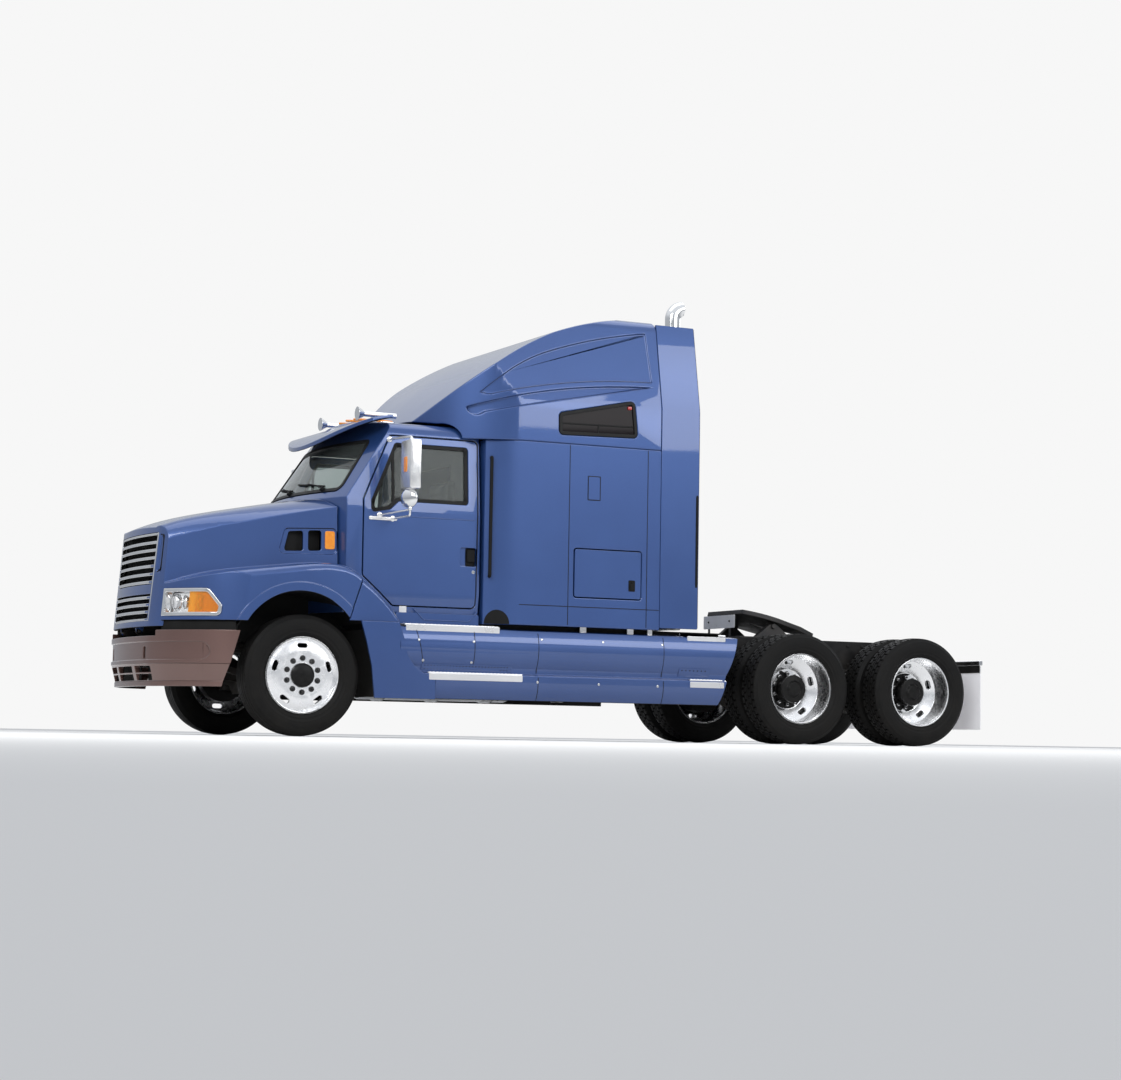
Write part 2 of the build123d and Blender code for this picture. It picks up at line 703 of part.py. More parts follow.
def front_limit(inset, lean):
    """The bowed front of the truck in plan, swept up along the lean of the grille."""
    with BuildPart() as limit:
        with BuildSketch(Plane.XY.offset(NOSE_Z)):
            with BuildLine():
                ThreePointArc(
                    (AX + NOSE_EDGE + inset, -NOSE_HALF),
                    (AX + NOSE_MID + inset, 0.0),
                    (AX + NOSE_EDGE + inset, NOSE_HALF),
                )
                for side in (-1, 1):
                    ThreePointArc(
                        (AX + NOSE_EDGE + inset, side * NOSE_HALF),
                        (AX - 1032.0 + 0.84 * inset, side * (808.0 - 0.54 * inset)),
                        (AX - 830.0 + 0.64 * inset, side * (1035.0 - 0.77 * inset)),
                    )
                    ThreePointArc(
                        (AX - 830.0 + 0.64 * inset, side * (1035.0 - 0.77 * inset)),
                        (AX - 628.0 + 0.34 * inset, side * (1150.0 - 0.94 * inset)),
                        (AX - 400.0, side * (1190.0 - inset)),
                    )
                    Line((AX - 400.0, side * (1190.0 - inset)), (AX + 1400.0, side * (1190.0 - inset)))
                Line((AX + 1400.0, -1190.0 + inset), (AX + 1400.0, 1190.0 - inset))
            make_face()
        extrude(amount=1500.0, dir=(lean, 0.0, 1.0))
    return limit.part


# Sections of the bonnet: distance behind the axle, half width at the foot, shoulder
# half width and height, crown height, and how far out the shoulder's curve stays full
BONNET = (
    (-1340.0, 610.0, 590.0, 1530.0, 1630.0, 0.93),
    (-1000.0, 700.0, 675.0, 1650.0, 1812.0, 0.93),
    (-500.0, 830.0, 785.0, 1790.0, 1940.0, 0.88),
    (0.0, 940.0, 895.0, 1900.0, 2035.0, 0.84),
    (440.0, 1005.0, 962.0, 1980.0, 2085.0, 0.84),
)
# Sections of a fender: distance behind the axle, outer half width, crest height,
# height where it runs into the bonnet
FENDER = (
    (-1340.0, 1160.0, 1110.0, 1175.0),
    (-900.0, 1170.0, 1292.0, 1350.0),
    (-450.0, 1180.0, 1390.0, 1445.0),
    (0.0, 1188.0, 1450.0, 1500.0),
    (300.0, 1190.0, 1460.0, 1505.0),
    (560.0, 1190.0, 1320.0, 1350.0),
    (860.0, 1190.0, 1010.0, 1020.0),
)
CREST_R = 70.0


def bonnet_form(inset, foot):
    with BuildPart() as form:
        for x, w, shoulder_y, shoulder_z, crown, full in BONNET:
            reach = shoulder_y - inset
            rise = crown - shoulder_z
            flank = (reach, shoulder_z - inset)
            bend = (reach * full, shoulder_z + 0.59 * rise - inset)
            brow = (reach * full * 0.75, shoulder_z + 0.83 * rise - inset)
            with BuildSketch(Plane.YZ.offset(AX + x)):
                with BuildLine():
                    Line((-(w - inset), foot), (w - inset, foot))
                    for side in (-1, 1):
                        Line((side * (w - inset), foot), (side * flank[0], flank[1]))
                        ThreePointArc(
                            (side * flank[0], flank[1]),
                            (side * bend[0], bend[1]),
                            (side * brow[0], brow[1]),
                        )
                    ThreePointArc((-brow[0], brow[1]), (0.0, crown - inset), brow)
                make_face()
        loft()
    return form.part


def fender_form(inset, foot, first, last):
    """The left fender as a closed form between two of its sections."""
    with BuildPart() as form:
        for x, out, crest, root in FENDER[first:last]:
            with BuildSketch(Plane.YZ.offset(AX + x)):
                with BuildLine():
                    Polyline((-400.0, root - inset), (-400.0, foot), (-(out - inset), foot))
                    Line((-(out - inset), foot), (-(out - inset), crest - CREST_R))
                    ThreePointArc(
                        (-(out - inset), crest - CREST_R),
                        (-(out - 0.29 * CREST_R - inset), crest - 0.29 * CREST_R - inset * 0.7),
                        (-(out - CREST_R - inset), crest - inset),
                    )
                    Line((-(out - CREST_R - inset), crest - inset), (-400.0, root - inset))
                make_face()
        loft()
    return form.part


# Hood: bonnet and both fenders in one moulding, open below and behind, with the wheel
# arches, the grille opening, the lamp pockets and the side vents cut through it
ARCH = ((-535.0, 900.0), (-50.0, 1216.0), (455.0, 900.0))
FLARE = ((-600.0, 940.0), (-45.0, 1292.0), (520.0, 940.0))
SPLIT_LOW = (404.0, 1040.0)
SPLIT_HIGH = (511.0, 1358.0)
HOOD_BACK = AX + 412.0
COWL_GAP = 12.0
FLARE_T = 12.0
# sunk corner beside the grille, seen from the front, and the slot in it
CORNER_LINE = ((548.0, 1362.0), (614.0, 1362.0), (614.0, 1672.0), (548.0, 1684.0))
CORNER_DEPTH = 16.0
CORNER_SLOT = ((586.0, 1385.0), (608.0, 1385.0), (608.0, 1655.0), (586.0, 1662.0))
LAMP_LINE = ((-1250.0, 985.0), (-1250.0, 1215.0), (-800.0, 1215.0), (-705.0, 1075.0), (-715.0, 985.0))
LAMP_INNER_Y = 685.0
VENT_LINE = ((-100.0, 1570.0), (-60.0, 1735.0), (60.0, 1745.0), (60.0, 1575.0))
VENT_FRAME = ((-150.0, 1545.0), (-95.0, 1762.0), (345.0, 1775.0), (345.0, 1552.0))
VENT_DEPTH = 9.0
VENT_LINE_2 = ((105.0, 1577.0), (105.0, 1748.0), (215.0, 1752.0), (215.0, 1582.0))


def front_prism(points, radius):
    """A pair of holes through the corners of the nose, with outlines seen from the front."""
    with BuildPart() as prism:
        with BuildSketch(Plane.YZ.offset(AX - 1400.0)) as outline:
            with BuildLine():
                Polyline(*[(-y, z) for y, z in points], close=True)
            make_face()
            fillet(outline.vertices(), radius)
        extrude(amount=600.0)
        mirror(about=Plane.XZ)
    return prism.part


def grille_prism(grow):
    """The grille's opening seen from the front, a little narrower at its foot."""
    with BuildPart() as prism:
        with BuildSketch(Plane.YZ.offset(AX - 1500.0)):
            with BuildLine():
                Polyline(
                    (-GRILLE_FOOT - grow, GRILLE_LOW - grow),
                    (-GRILLE_HALF - grow, GRILLE_TOP + grow),
                    (GRILLE_HALF + grow, GRILLE_TOP + grow),
                    (GRILLE_FOOT + grow, GRILLE_LOW - grow),
                    close=True,
                )
            make_face()
        extrude(amount=800.0)
    return prism.part


with BuildPart() as hood_solid:
    add(bonnet_form(0.0, NOSE_Z))
    with BuildSketch(Plane.XY.offset(800.0)):
        with BuildLine():
            ThreePointArc((HOOD_BACK, -1100.0), (CAB_NOSE - COWL_GAP, 0.0), (HOOD_BACK, 1100.0))
            Polyline((HOOD_BACK, 1100.0), (AX - 1500.0, 1100.0))
            Polyline((AX - 1500.0, 1100.0), (AX - 1500.0, -1100.0))
            Polyline((AX - 1500.0, -1100.0), (HOOD_BACK, -1100.0))
        make_face()
    extrude(amount=1600.0, mode=Mode.INTERSECT)
    add(both_sides(fender_form(0.0, FENDER_LOW, 0, 6)))
    add(front_limit(0.0, FRONT_LEAN), mode=Mode.INTERSECT)
with BuildPart() as hood_hollow:
    add(bonnet_form(HOOD_T, 700.0))
    add(both_sides(fender_form(HOOD_T, 700.0, 0, 6)))
    add(front_limit(HOOD_T, FRONT_LEAN), mode=Mode.INTERSECT)
with BuildPart() as flare_band:
    add(both_sides(fender_form(-FLARE_T, FENDER_LOW, 1, 6)))
    add(both_sides(fender_form(HOOD_T - 4.0, 700.0, 1, 6)), mode=Mode.SUBTRACT)
    with BuildSketch(Plane.XZ):
        with BuildLine():
            ThreePointArc(*[(AX + x, z) for x, z in FLARE])
            Line((AX + FLARE[2][0], FLARE[2][1]), (AX + FLARE[0][0], FLARE[0][1]))
        make_face()
    extrude(amount=1300.0, both=True, mode=Mode.INTERSECT)
with BuildPart() as corner_recess:
    add(front_prism(CORNER_LINE, 16.0))
    add(front_limit(CORNER_DEPTH, FRONT_LEAN), mode=Mode.SUBTRACT)
with BuildPart() as vent_recess:
    extrude(side_outline(VENT_FRAME, 40.0, 0.0), amount=1300.0, both=True)
    add(bonnet_form(VENT_DEPTH, NOSE_Z), mode=Mode.SUBTRACT)
with BuildPart() as split_side:
    with BuildSketch(Plane.XZ):
        with BuildLine():
            Polyline(
                (AX + SPLIT_LOW[0] - 60.0, 860.0),
                (AX + SPLIT_LOW[0], SPLIT_LOW[1]),
                (AX + SPLIT_HIGH[0], SPLIT_HIGH[1]),
                (AX + SPLIT_HIGH[0] + 120.0, 1700.0),
                (AX + 1500.0, 1700.0),
                (AX + 1500.0, 860.0),
                close=True,
            )
        make_face()
    extrude(amount=1300.0, both=True)
with BuildPart() as lamp_region:
    with BuildSketch(Plane.XZ.offset(LAMP_INNER_Y)) as lamp_sheet:
        with BuildLine():
            Polyline(*[(AX + x, z) for x, z in LAMP_LINE], close=True)
        make_face()
        fillet(lamp_sheet.vertices().sort_by(Axis.X)[2:], 45.0)
    extrude(amount=600.0)
    mirror(about=Plane.XZ)
with BuildPart() as hood:
    add(hood_solid.part)
    add(hood_hollow.part, mode=Mode.SUBTRACT)
    add(flare_band.part)
    add(corner_recess.part, mode=Mode.SUBTRACT)
    add(front_prism(CORNER_SLOT, 8.0), mode=Mode.SUBTRACT)
    add(vent_recess.part, mode=Mode.SUBTRACT)
    with BuildSketch(Plane.XZ):
        with BuildLine():
            ThreePointArc(*[(AX + x, z) for x, z in ARCH])
            Line((AX + ARCH[2][0], ARCH[2][1]), (AX + ARCH[0][0], ARCH[0][1]))
        make_face()
    extrude(amount=1300.0, both=True, mode=Mode.SUBTRACT)
    add(split_side.part, mode=Mode.SUBTRACT)
    add(cab_form(-COWL_GAP), mode=Mode.SUBTRACT)
    add(grille_prism(0.0), mode=Mode.SUBTRACT)
    add(lamp_region.part, mode=Mode.SUBTRACT)
    for line in (VENT_LINE, VENT_LINE_2):
        extrude(side_outline(line, 20.0, 0.0), amount=1300.0, both=True, mode=Mode.SUBTRACT)
    for side in (-1, 1):
        with BuildSketch(Plane.XZ.offset(side * HOOD_LUG_Y - 8.0)):
            with BuildLine():
                Polyline(
                    (PIVOT_X - 26.0, PIVOT_Z),
                    (PIVOT_X - 38.0, GRILLE_LOW - 3.0),
                    (PIVOT_X + 60.0, GRILLE_LOW - 3.0),
                    (PIVOT_X + 28.0, PIVOT_Z - 14.0),
                    (PIVOT_X, PIVOT_Z - 26.0),
                    close=True,
                )
            make_face()
            with Locations((PIVOT_X, PIVOT_Z)):
                Circle(PIVOT_PIN_R + 0.5, mode=Mode.SUBTRACT)
        extrude(amount=16.0)
save(hood.part, "hood")

# Fender tails: the piece of each fender behind the split, fixed to the cab and skirt
SPLIT_GAP = 8.0
with BuildPart() as fender_tails:
    add(fender_form(0.0, 850.0, 4, 7))
    add(fender_form(HOOD_T, 700.0, 4, 7), mode=Mode.SUBTRACT)
    add(split_side.part.moved(Location((SPLIT_GAP, 0.0, 0.0))), mode=Mode.INTERSECT)
    with Locations((AX + 600.0, -1100.0, 884.0)):
        Box(1400.0, 400.0, 200.0, mode=Mode.SUBTRACT)
    with Locations((AX + 900.0, -CAB_HALF / 2, 1200.0)):
        Box(1400.0, CAB_HALF, 900.0, mode=Mode.SUBTRACT)
    mirror(about=Plane.XZ)
save(fender_tails.part, "fender_tails")

# Headlamps: one moulded lamp at each corner, wrapped round into the fender
with BuildPart() as headlamps:
    add(front_limit(2.0, FRONT_LEAN))
    add(front_limit(70.0, FRONT_LEAN), mode=Mode.SUBTRACT)
    add(lamp_region.part, mode=Mode.INTERSECT)
save(headlamps.part, "headlamps")

# Grille: a bright surround with bowed bars across it. Bar heights are shares of the
# opening from its top, and the wide bar in the middle is body coloured.
BARS = (0.108, 0.196, 0.284, 0.378, 0.470, 0.560, 0.736, 0.818, 0.900)
BAR_H = 26.0
BAR_DEPTH = 34.0
MIDDLE_BAR = (0.585, 0.695)
FRAME_H = 20.0
GRILLE_H = GRILLE_TOP - GRILLE_LOW


def bowed_strip(low, high, depth, margin):
    """A strip of the grille's bowed face between two heights."""
    front = AX + FRONT_LEAN * (low - NOSE_Z)
    with BuildPart() as strip:
        with BuildSketch(Plane.XY.offset(low)):
            with BuildLine():
                for back in (0.0, depth):
                    ThreePointArc(
                        (front + NOSE_EDGE + back, -NOSE_HALF),
                        (front + NOSE_MID + back, 0.0),
                        (front + NOSE_EDGE + back, NOSE_HALF),
                    )
                for side in (-1, 1):
                    Line(
                        (front + NOSE_EDGE, side * NOSE_HALF),
                        (front + NOSE_EDGE + depth, side * NOSE_HALF),
                    )
            make_face()
        extrude(amount=(high - low) * (1 + FRONT_LEAN**2) ** 0.5, dir=(FRONT_LEAN, 0.0, 1.0))
        add(grille_prism(-margin), mode=Mode.INTERSECT)
    return strip.part


with BuildPart() as grille:
    add(bowed_strip(GRILLE_LOW, GRILLE_TOP, 45.0, 0.0))
    add(bowed_strip(GRILLE_LOW + FRAME_H, GRILLE_TOP - FRAME_H, 60.0, FRAME_H), mode=Mode.SUBTRACT)
    for share in BARS:
        middle = GRILLE_TOP - share * GRILLE_H
        add(bowed_strip(middle - BAR_H / 2, middle + BAR_H / 2, BAR_DEPTH, FRAME_H - 1.0))
    add(
        bowed_strip(
            GRILLE_TOP - MIDDLE_BAR[1] * GRILLE_H,
            GRILLE_TOP - MIDDLE_BAR[0] * GRILLE_H,
            BAR_DEPTH,
            FRAME_H - 1.0,
        )
    )
save(grille.part, "grille")

# Bumper: a bowed moulding round the front corners, with a long recessed panel, a lower
# band, and openings for air and towing
BUMPER_LOW = 400.0
BUMPER_TOP = 870.0
BUMPER_MID = 822.0
BUMPER_T = 60.0
BAND_SLOPE = 40.0                         # how far the lower band leans in
LIP_H = 44.0
STEP_HALF = 640.0
TOW_Y = 460.0
TOW_Z = 682.0
BAND_TOP = 590.0                          # top of the set-back lower band
PANEL_LOW = 622.0                         # the long sunk panel round the front and sides
PANEL_TOP = 772.0
PANEL_END = -790.0
# lower air slots: distance of the centre from the centre line, width, bars across
AIR_SLOTS = ((0.0, 400.0), (-415.0, 300.0), (415.0, 300.0))
SLOT_LOW = 450.0
SLOT_TOP = 570.0


def bumper_plan(inset):
    """The bumper seen from above: bowed front, rounded corners and straight sides."""
    with BuildSketch() as plan:
        with BuildLine():
            ThreePointArc((AX - 1170.0, -NOSE_HALF), (AX - 1215.0, 0.0), (AX - 1170.0, NOSE_HALF))
            for side in (-1, 1):
                ThreePointArc(
                    (AX - 1170.0, side * NOSE_HALF),
                    (AX - 1043.0, side * 812.0),
                    (AX - 840.0, side * 1040.0),
                )
                ThreePointArc(
                    (AX - 840.0, side * 1040.0),
                    (AX - 652.0, side * 1152.0),
                    (AX - 440.0, side * 1195.0),
                )
                Line((AX - 440.0, side * 1195.0), (AX - 400.0, side * 1195.0))
            Line((AX - 400.0, -1195.0), (AX - 400.0, 1195.0))
        make_face()
        if inset:
            offset(amount=-inset)
    return plan.sketch


def bumper_skin(low, high, outer, inner):
    """A layer of the bumper's face between two heights and two depths."""
    with BuildPart() as skin:
        with BuildSketch(Plane.XY.offset(low)):
            add(bumper_plan(outer))
        extrude(amount=high - low)
        with BuildSketch(Plane.XY.offset(low)):
            add(bumper_plan(inner))
        extrude(amount=high - low, mode=Mode.SUBTRACT)
    return skin.part


with BuildPart() as panel_recess:
    add(bumper_skin(PANEL_LOW, PANEL_TOP, -5.0, 12.0))
    with BuildSketch(Plane.XZ):
        with Locations((AX + PANEL_END - 600.0, (PANEL_LOW + PANEL_TOP) / 2)):
            SlotOverall(1200.0, PANEL_TOP - PANEL_LOW)
    extrude(amount=1300.0, both=True, mode=Mode.INTERSECT)
with BuildPart() as bumper:
    add(bumper_skin(BAND_TOP, BUMPER_TOP, 0.0, BUMPER_T))
    with BuildSketch(Plane.XY.offset(BAND_TOP)):
        add(bumper_plan(4.0))
    with BuildSketch(Plane.XY.offset(BUMPER_LOW + LIP_H)):
        add(bumper_plan(BAND_SLOPE))
    loft()
    with BuildSketch(Plane.XY.offset(BUMPER_LOW)):
        add(bumper_plan(BAND_SLOPE - 6.0))
    extrude(amount=LIP_H)
    with BuildSketch(Plane.XY.offset(BUMPER_LOW)):
        add(bumper_plan(BUMPER_T))
    extrude(amount=BUMPER_TOP - BUMPER_LOW, mode=Mode.SUBTRACT)
    with BuildSketch(Plane.XZ):
        with BuildLine():
            Polyline(
                (AX - 1400.0, BUMPER_LOW),
                (AX - 690.0, BUMPER_LOW),
                (AX - 565.0, BUMPER_TOP),
                (AX - 1400.0, BUMPER_TOP),
                close=True,
            )
        make_face()
    extrude(amount=1300.0, both=True, mode=Mode.INTERSECT)
    with Locations((AX - 1250.0, 0.0, (BUMPER_MID + BUMPER_TOP) / 2)):
        Box(400.0, 2 * STEP_HALF, BUMPER_TOP - BUMPER_MID, mode=Mode.SUBTRACT)
    add(panel_recess.part, mode=Mode.SUBTRACT)
    for slot_y, slot_w in AIR_SLOTS:
        with BuildSketch(Plane.YZ.offset(AX - 1420.0)):
            with Locations((slot_y, (SLOT_LOW + SLOT_TOP) / 2)):
                RectangleRounded(slot_w, SLOT_TOP - SLOT_LOW, 14.0)
                Rectangle(slot_w, 14.0, mode=Mode.SUBTRACT)
        extrude(amount=450.0, mode=Mode.SUBTRACT)
    for side in (-1, 1):
        with BuildSketch(Plane.YZ.offset(AX - 1420.0)):
            with Locations((side * TOW_Y, TOW_Z)):
                RectangleRounded(44.0, 104.0, 12.0)
        extrude(amount=450.0, mode=Mode.SUBTRACT)
save(bumper.part, "bumper")

# Brackets bolted to the rails: cab mounts, skirt outriggers, and arms for the bumper and
# the hood pivots.
# distance behind the axle, length, lowest and highest, inner and outer distance from the centre
OUTRIGGERS = (
    (760.0, 60.0, 760.0, 840.0, RAIL_OUT, 1160.0),
    (2950.0, 60.0, 760.0, 840.0, RAIL_OUT, 1160.0),
    (3480.0, 60.0, 760.0, 840.0, RAIL_OUT, 1160.0),
    (760.0, 160.0, RAIL_TOP, CAB_SILL, 340.0, RAIL_OUT),
    (1450.0, 160.0, RAIL_TOP, CAB_SILL, 340.0, RAIL_OUT),
    (-1010.0, 300.0, 578.0, 622.0, RAIL_OUT, RAIL_OUT + 40.0),
    (-860.0, 60.0, 578.0, 860.0, RAIL_OUT, RAIL_OUT + 40.0),
)
PIVOT_Y = 190.0
PIVOT_T = 30.0
PIVOT_FOOT = AX + CROSS_X[0] - CROSS_W / 2
with BuildPart() as frame_brackets:
    for x, length, low, high, inner, outer in OUTRIGGERS:
        with Locations((AX + x, -(inner + outer) / 2, (low + high) / 2)):
            Box(length, outer - inner, high - low)
    with BuildSketch(Plane.XZ.offset(PIVOT_Y - PIVOT_T / 2)):
        with BuildLine():
            Polyline(
                (PIVOT_FOOT, RAIL_TOP - 220.0),
                (PIVOT_FOOT, RAIL_TOP - 40.0),
                (PIVOT_X, PIVOT_Z + 24.0),
                (PIVOT_X - 24.0, PIVOT_Z),
                (PIVOT_X, PIVOT_Z - 24.0),
                close=True,
            )
        make_face()
    extrude(amount=PIVOT_T)
    with BuildSketch(Plane.XZ.offset(PIVOT_Y - PIVOT_T / 2)):
        with Locations((PIVOT_X, PIVOT_Z)):
            Circle(PIVOT_PIN_R)
    extrude(amount=PIVOT_T + 42.0)
    mirror(about=Plane.XZ)
    add(bumper.part, mode=Mode.SUBTRACT)
save(frame_brackets.part, "frame_brackets")

# Sun visor: a curved peak over the windscreen, on the front edge of the roof
with BuildPart() as sun_visor:
    with BuildSketch(Plane.XY.offset(2540.0)):
        with BuildLine():
            ThreePointArc((AX + 640.0, -990.0), (AX + 345.0, 0.0), (AX + 640.0, 990.0))
            Line((AX + 640.0, 990.0), (AX + 830.0, 990.0))
            ThreePointArc((AX + 830.0, 990.0), (AX + 690.0, 0.0), (AX + 830.0, -990.0))
            Line((AX + 830.0, -990.0), (AX + 640.0, -990.0))
        make_face()
    extrude(amount=300.0)
    with BuildSketch(Plane.XZ):
        with BuildLine():
            ThreePointArc((AX + 330.0, 2560.0), (AX + 560.0, 2720.0), (AX + 860.0, 2790.0))
            Line((AX + 860.0, 2790.0), (AX + 860.0, 2765.0))
            ThreePointArc((AX + 860.0, 2765.0), (AX + 570.0, 2690.0), (AX + 345.0, 2535.0))
            Line((AX + 345.0, 2535.0), (AX + 330.0, 2560.0))
        make_face()
    extrude(amount=1000.0, both=True, mode=Mode.INTERSECT)
    add(cab_outer, mode=Mode.SUBTRACT)
save(sun_visor.part, "sun_visor")

# Sleeper: floor, side walls, slanted front corners and back wall, open at the top
# where the raised roof carries on
HATCH_LINE = ((2492.0, 1268.0), (3154.0, 1268.0), (3154.0, 1690.0), (2492.0, 1690.0))
HATCH_GAP = 8.0


def sleeper_plan(inset):
    with BuildSketch(Plane.XY) as plan:
        with BuildLine():
            Polyline(
                (SLEEPER_FRONT + inset, -1080.0 + inset * 0.6),
                (SLEEPER_SHOULDER + inset * 0.4, -SLEEPER_HALF + inset),
                (SLEEPER_BACK - inset, -SLEEPER_HALF + inset),
                (SLEEPER_BACK - inset, SLEEPER_HALF - inset),
                (SLEEPER_SHOULDER + inset * 0.4, SLEEPER_HALF - inset),
                (SLEEPER_FRONT + inset, 1080.0 - inset * 0.6),
                close=True,
            )
        make_face()
    return plan.sketch


hatch_sheet = side_outline(HATCH_LINE, 18.0, 0.0)
hatchway_sheet = side_outline(HATCH_LINE, 18.0, HATCH_GAP)
with BuildPart() as sleeper_solid:
    with BuildSketch(Plane.XY.offset(SLEEPER_FLOOR)):
        add(sleeper_plan(0.0))
    extrude(amount=SLEEPER_TOP - SLEEPER_FLOOR)
with BuildPart() as sleeper_shell:
    add(sleeper_solid.part)
    with BuildSketch(Plane.XY.offset(SLEEPER_FLOOR + SLEEPER_WALL)):
        add(sleeper_plan(SLEEPER_WALL))
    extrude(amount=SLEEPER_TOP - SLEEPER_FLOOR, mode=Mode.SUBTRACT)
    extrude(hatchway_sheet, amount=1300.0, both=True, mode=Mode.SUBTRACT)
    with Locations((SLEEPER_FRONT, 0.0, (GANGWAY_LOW + GANGWAY_TOP) / 2)):
        Box(200.0, 2 * GANGWAY_HALF, GANGWAY_TOP - GANGWAY_LOW, mode=Mode.SUBTRACT)
save(sleeper_shell.part, "sleeper_shell")

# Baggage hatches: a panel of the sleeper's side wall, hinged along its front edge
with BuildPart() as hatch_left:
    add(sleeper_solid.part)
    with BuildSketch(Plane.XY.offset(0.0)):
        add(sleeper_plan(SLEEPER_WALL))
    extrude(amount=3000.0, mode=Mode.SUBTRACT)
    extrude(hatch_sheet, amount=1300.0, mode=Mode.INTERSECT)
save(hatch_left.part, "hatch_left")
with BuildPart() as hatch_right:
    mirror(hatch_left.part, about=Plane.XZ)
save(hatch_right.part, "hatch_right")

# Seal between cab and sleeper, round the gangway
SEAL_W = 60.0
with BuildPart() as gangway_seal:
    with BuildSketch(Plane.YZ.offset(CAB_BACK)):
        with Locations((0.0, (GANGWAY_LOW + GANGWAY_TOP) / 2)):
            Rectangle(2 * (GANGWAY_HALF + SEAL_W), GANGWAY_TOP - GANGWAY_LOW + 2 * SEAL_W)
            Rectangle(2 * GANGWAY_HALF, GANGWAY_TOP - GANGWAY_LOW, mode=Mode.SUBTRACT)
    extrude(amount=SLEEPER_FRONT - CAB_BACK)
save(gangway_seal.part, "gangway_seal")

# Raised roof: one moulding from over the cab back to the sleeper's back wall
ROOF_TOP = 3845.0


def roof_form(inset):
    with BuildPart() as form:
        with BuildSketch(Plane.XZ):
            with BuildLine():
                ThreePointArc(
                    (AX + 1080.0 + inset * 2, 2700.0),
                    (AX + 1640.0 + inset, 3235.0 - inset),
                    (AX + 2300.0, 3625.0 - inset),
                )
                ThreePointArc(
                    (AX + 2300.0, 3625.0 - inset),
                    (AX + 2810.0, 3775.0 - inset),
                    (SLEEPER_BACK - inset, ROOF_TOP - inset),
                )
                Polyline(
                    (SLEEPER_BACK - inset, ROOF_TOP - inset),
                    (SLEEPER_BACK - inset, SLEEPER_TOP - 2 * inset),
                    (AX + 1080.0 + inset * 2, SLEEPER_TOP - 2 * inset),
                    (AX + 1080.0 + inset * 2, 2700.0),
                )
            make_face()
        extrude(amount=1300.0, both=True)
        with BuildSketch(Plane.YZ):
            with BuildLine():
                for side in (-1, 1):
                    Polyline(
                        (0.0, SLEEPER_TOP - 2 * inset),
                        (side * (SLEEPER_HALF - inset), SLEEPER_TOP - 2 * inset),
                        (side * (SLEEPER_HALF - inset), 3000.0),
                        (side * (1090.0 - inset), 3700.0 - inset),
                    )
                    ThreePointArc(
                        (side * (1090.0 - inset), 3700.0 - inset),
                        (side * (1055.0 - inset), 3775.0 - inset),
                        (side * 960.0, 3812.0 - inset),
                    )
                ThreePointArc((-960.0, 3812.0 - inset), (0.0, 3850.0 - inset), (960.0, 3812.0 - inset))
            make_face()
        extrude(amount=6000.0, both=True, mode=Mode.INTERSECT)
        with BuildSketch(Plane.XY):
            with BuildLine():
                ThreePointArc(
                    (SLEEPER_SHOULDER + inset, -SLEEPER_HALF + inset),
                    (AX + 1330.0 + inset, -880.0 + inset),
                    (AX + 1080.0 + inset, 0.0),
                )
                ThreePointArc(
                    (AX + 1080.0 + inset, 0.0),
                    (AX + 1330.0 + inset, 880.0 - inset),
                    (SLEEPER_SHOULDER + inset, SLEEPER_HALF - inset),
                )
                Polyline(
                    (SLEEPER_SHOULDER + inset, SLEEPER_HALF - inset),
                    (SLEEPER_BACK - inset, SLEEPER_HALF - inset),
                    (SLEEPER_BACK - inset, -SLEEPER_HALF + inset),
                    (SLEEPER_SHOULDER + inset, -SLEEPER_HALF + inset),
                )
            make_face()
        extrude(amount=4500.0, mode=Mode.INTERSECT)
    return form.part


ROOF_WINDOW = ((2320.0, 2697.0), (2317.0, 2890.0), (3068.0, 3048.0), (3104.0, 2716.0))
ROOF_CLEAR = 25.0
roof_window_sheet = side_outline(ROOF_WINDOW, 40.0, 0.0)
# The large sunk panel in each side, and the groove under it that runs out to the rear
PANEL_DEPTH = 13.0
GROOVE_DEPTH = 30.0
with BuildSketch(Plane.XZ) as panel_sheet:
    with BuildLine():
        ThreePointArc((AX + 1600.0, 3030.0), (AX + 1870.0, 3255.0), (AX + 2210.0, 3432.0))
        ThreePointArc((AX + 2210.0, 3432.0), (AX + 2720.0, 3590.0), (AX + 3230.0, 3690.0))
        Line((AX + 3230.0, 3690.0), (AX + 3262.0, 3235.0))
        ThreePointArc((AX + 3262.0, 3235.0), (AX + 2500.0, 3180.0), (AX + 1690.0, 3020.0))
        Line((AX + 1690.0, 3020.0), (AX + 1600.0, 3030.0))
    make_face()
with BuildSketch(Plane.XZ) as groove_sheet:
    with BuildLine():
        ThreePointArc((AX + 1500.0, 2905.0), (AX + 2320.0, 3100.0), (AX + 3240.0, 3186.0))
        ThreePointArc((AX + 3240.0, 3186.0), (AX + 2400.0, 3020.0), (AX + 1640.0, 2862.0))
        ThreePointArc((AX + 1640.0, 2862.0), (AX + 1520.0, 2862.0), (AX + 1500.0, 2905.0))
    make_face()
with BuildPart() as fairing_recess:
    extrude(panel_sheet.sketch, amount=1300.0, both=True)
    add(roof_form(PANEL_DEPTH), mode=Mode.SUBTRACT)
with BuildPart() as fairing_groove:
    extrude(groove_sheet.sketch, amount=1300.0, both=True)
    add(roof_form(GROOVE_DEPTH), mode=Mode.SUBTRACT)
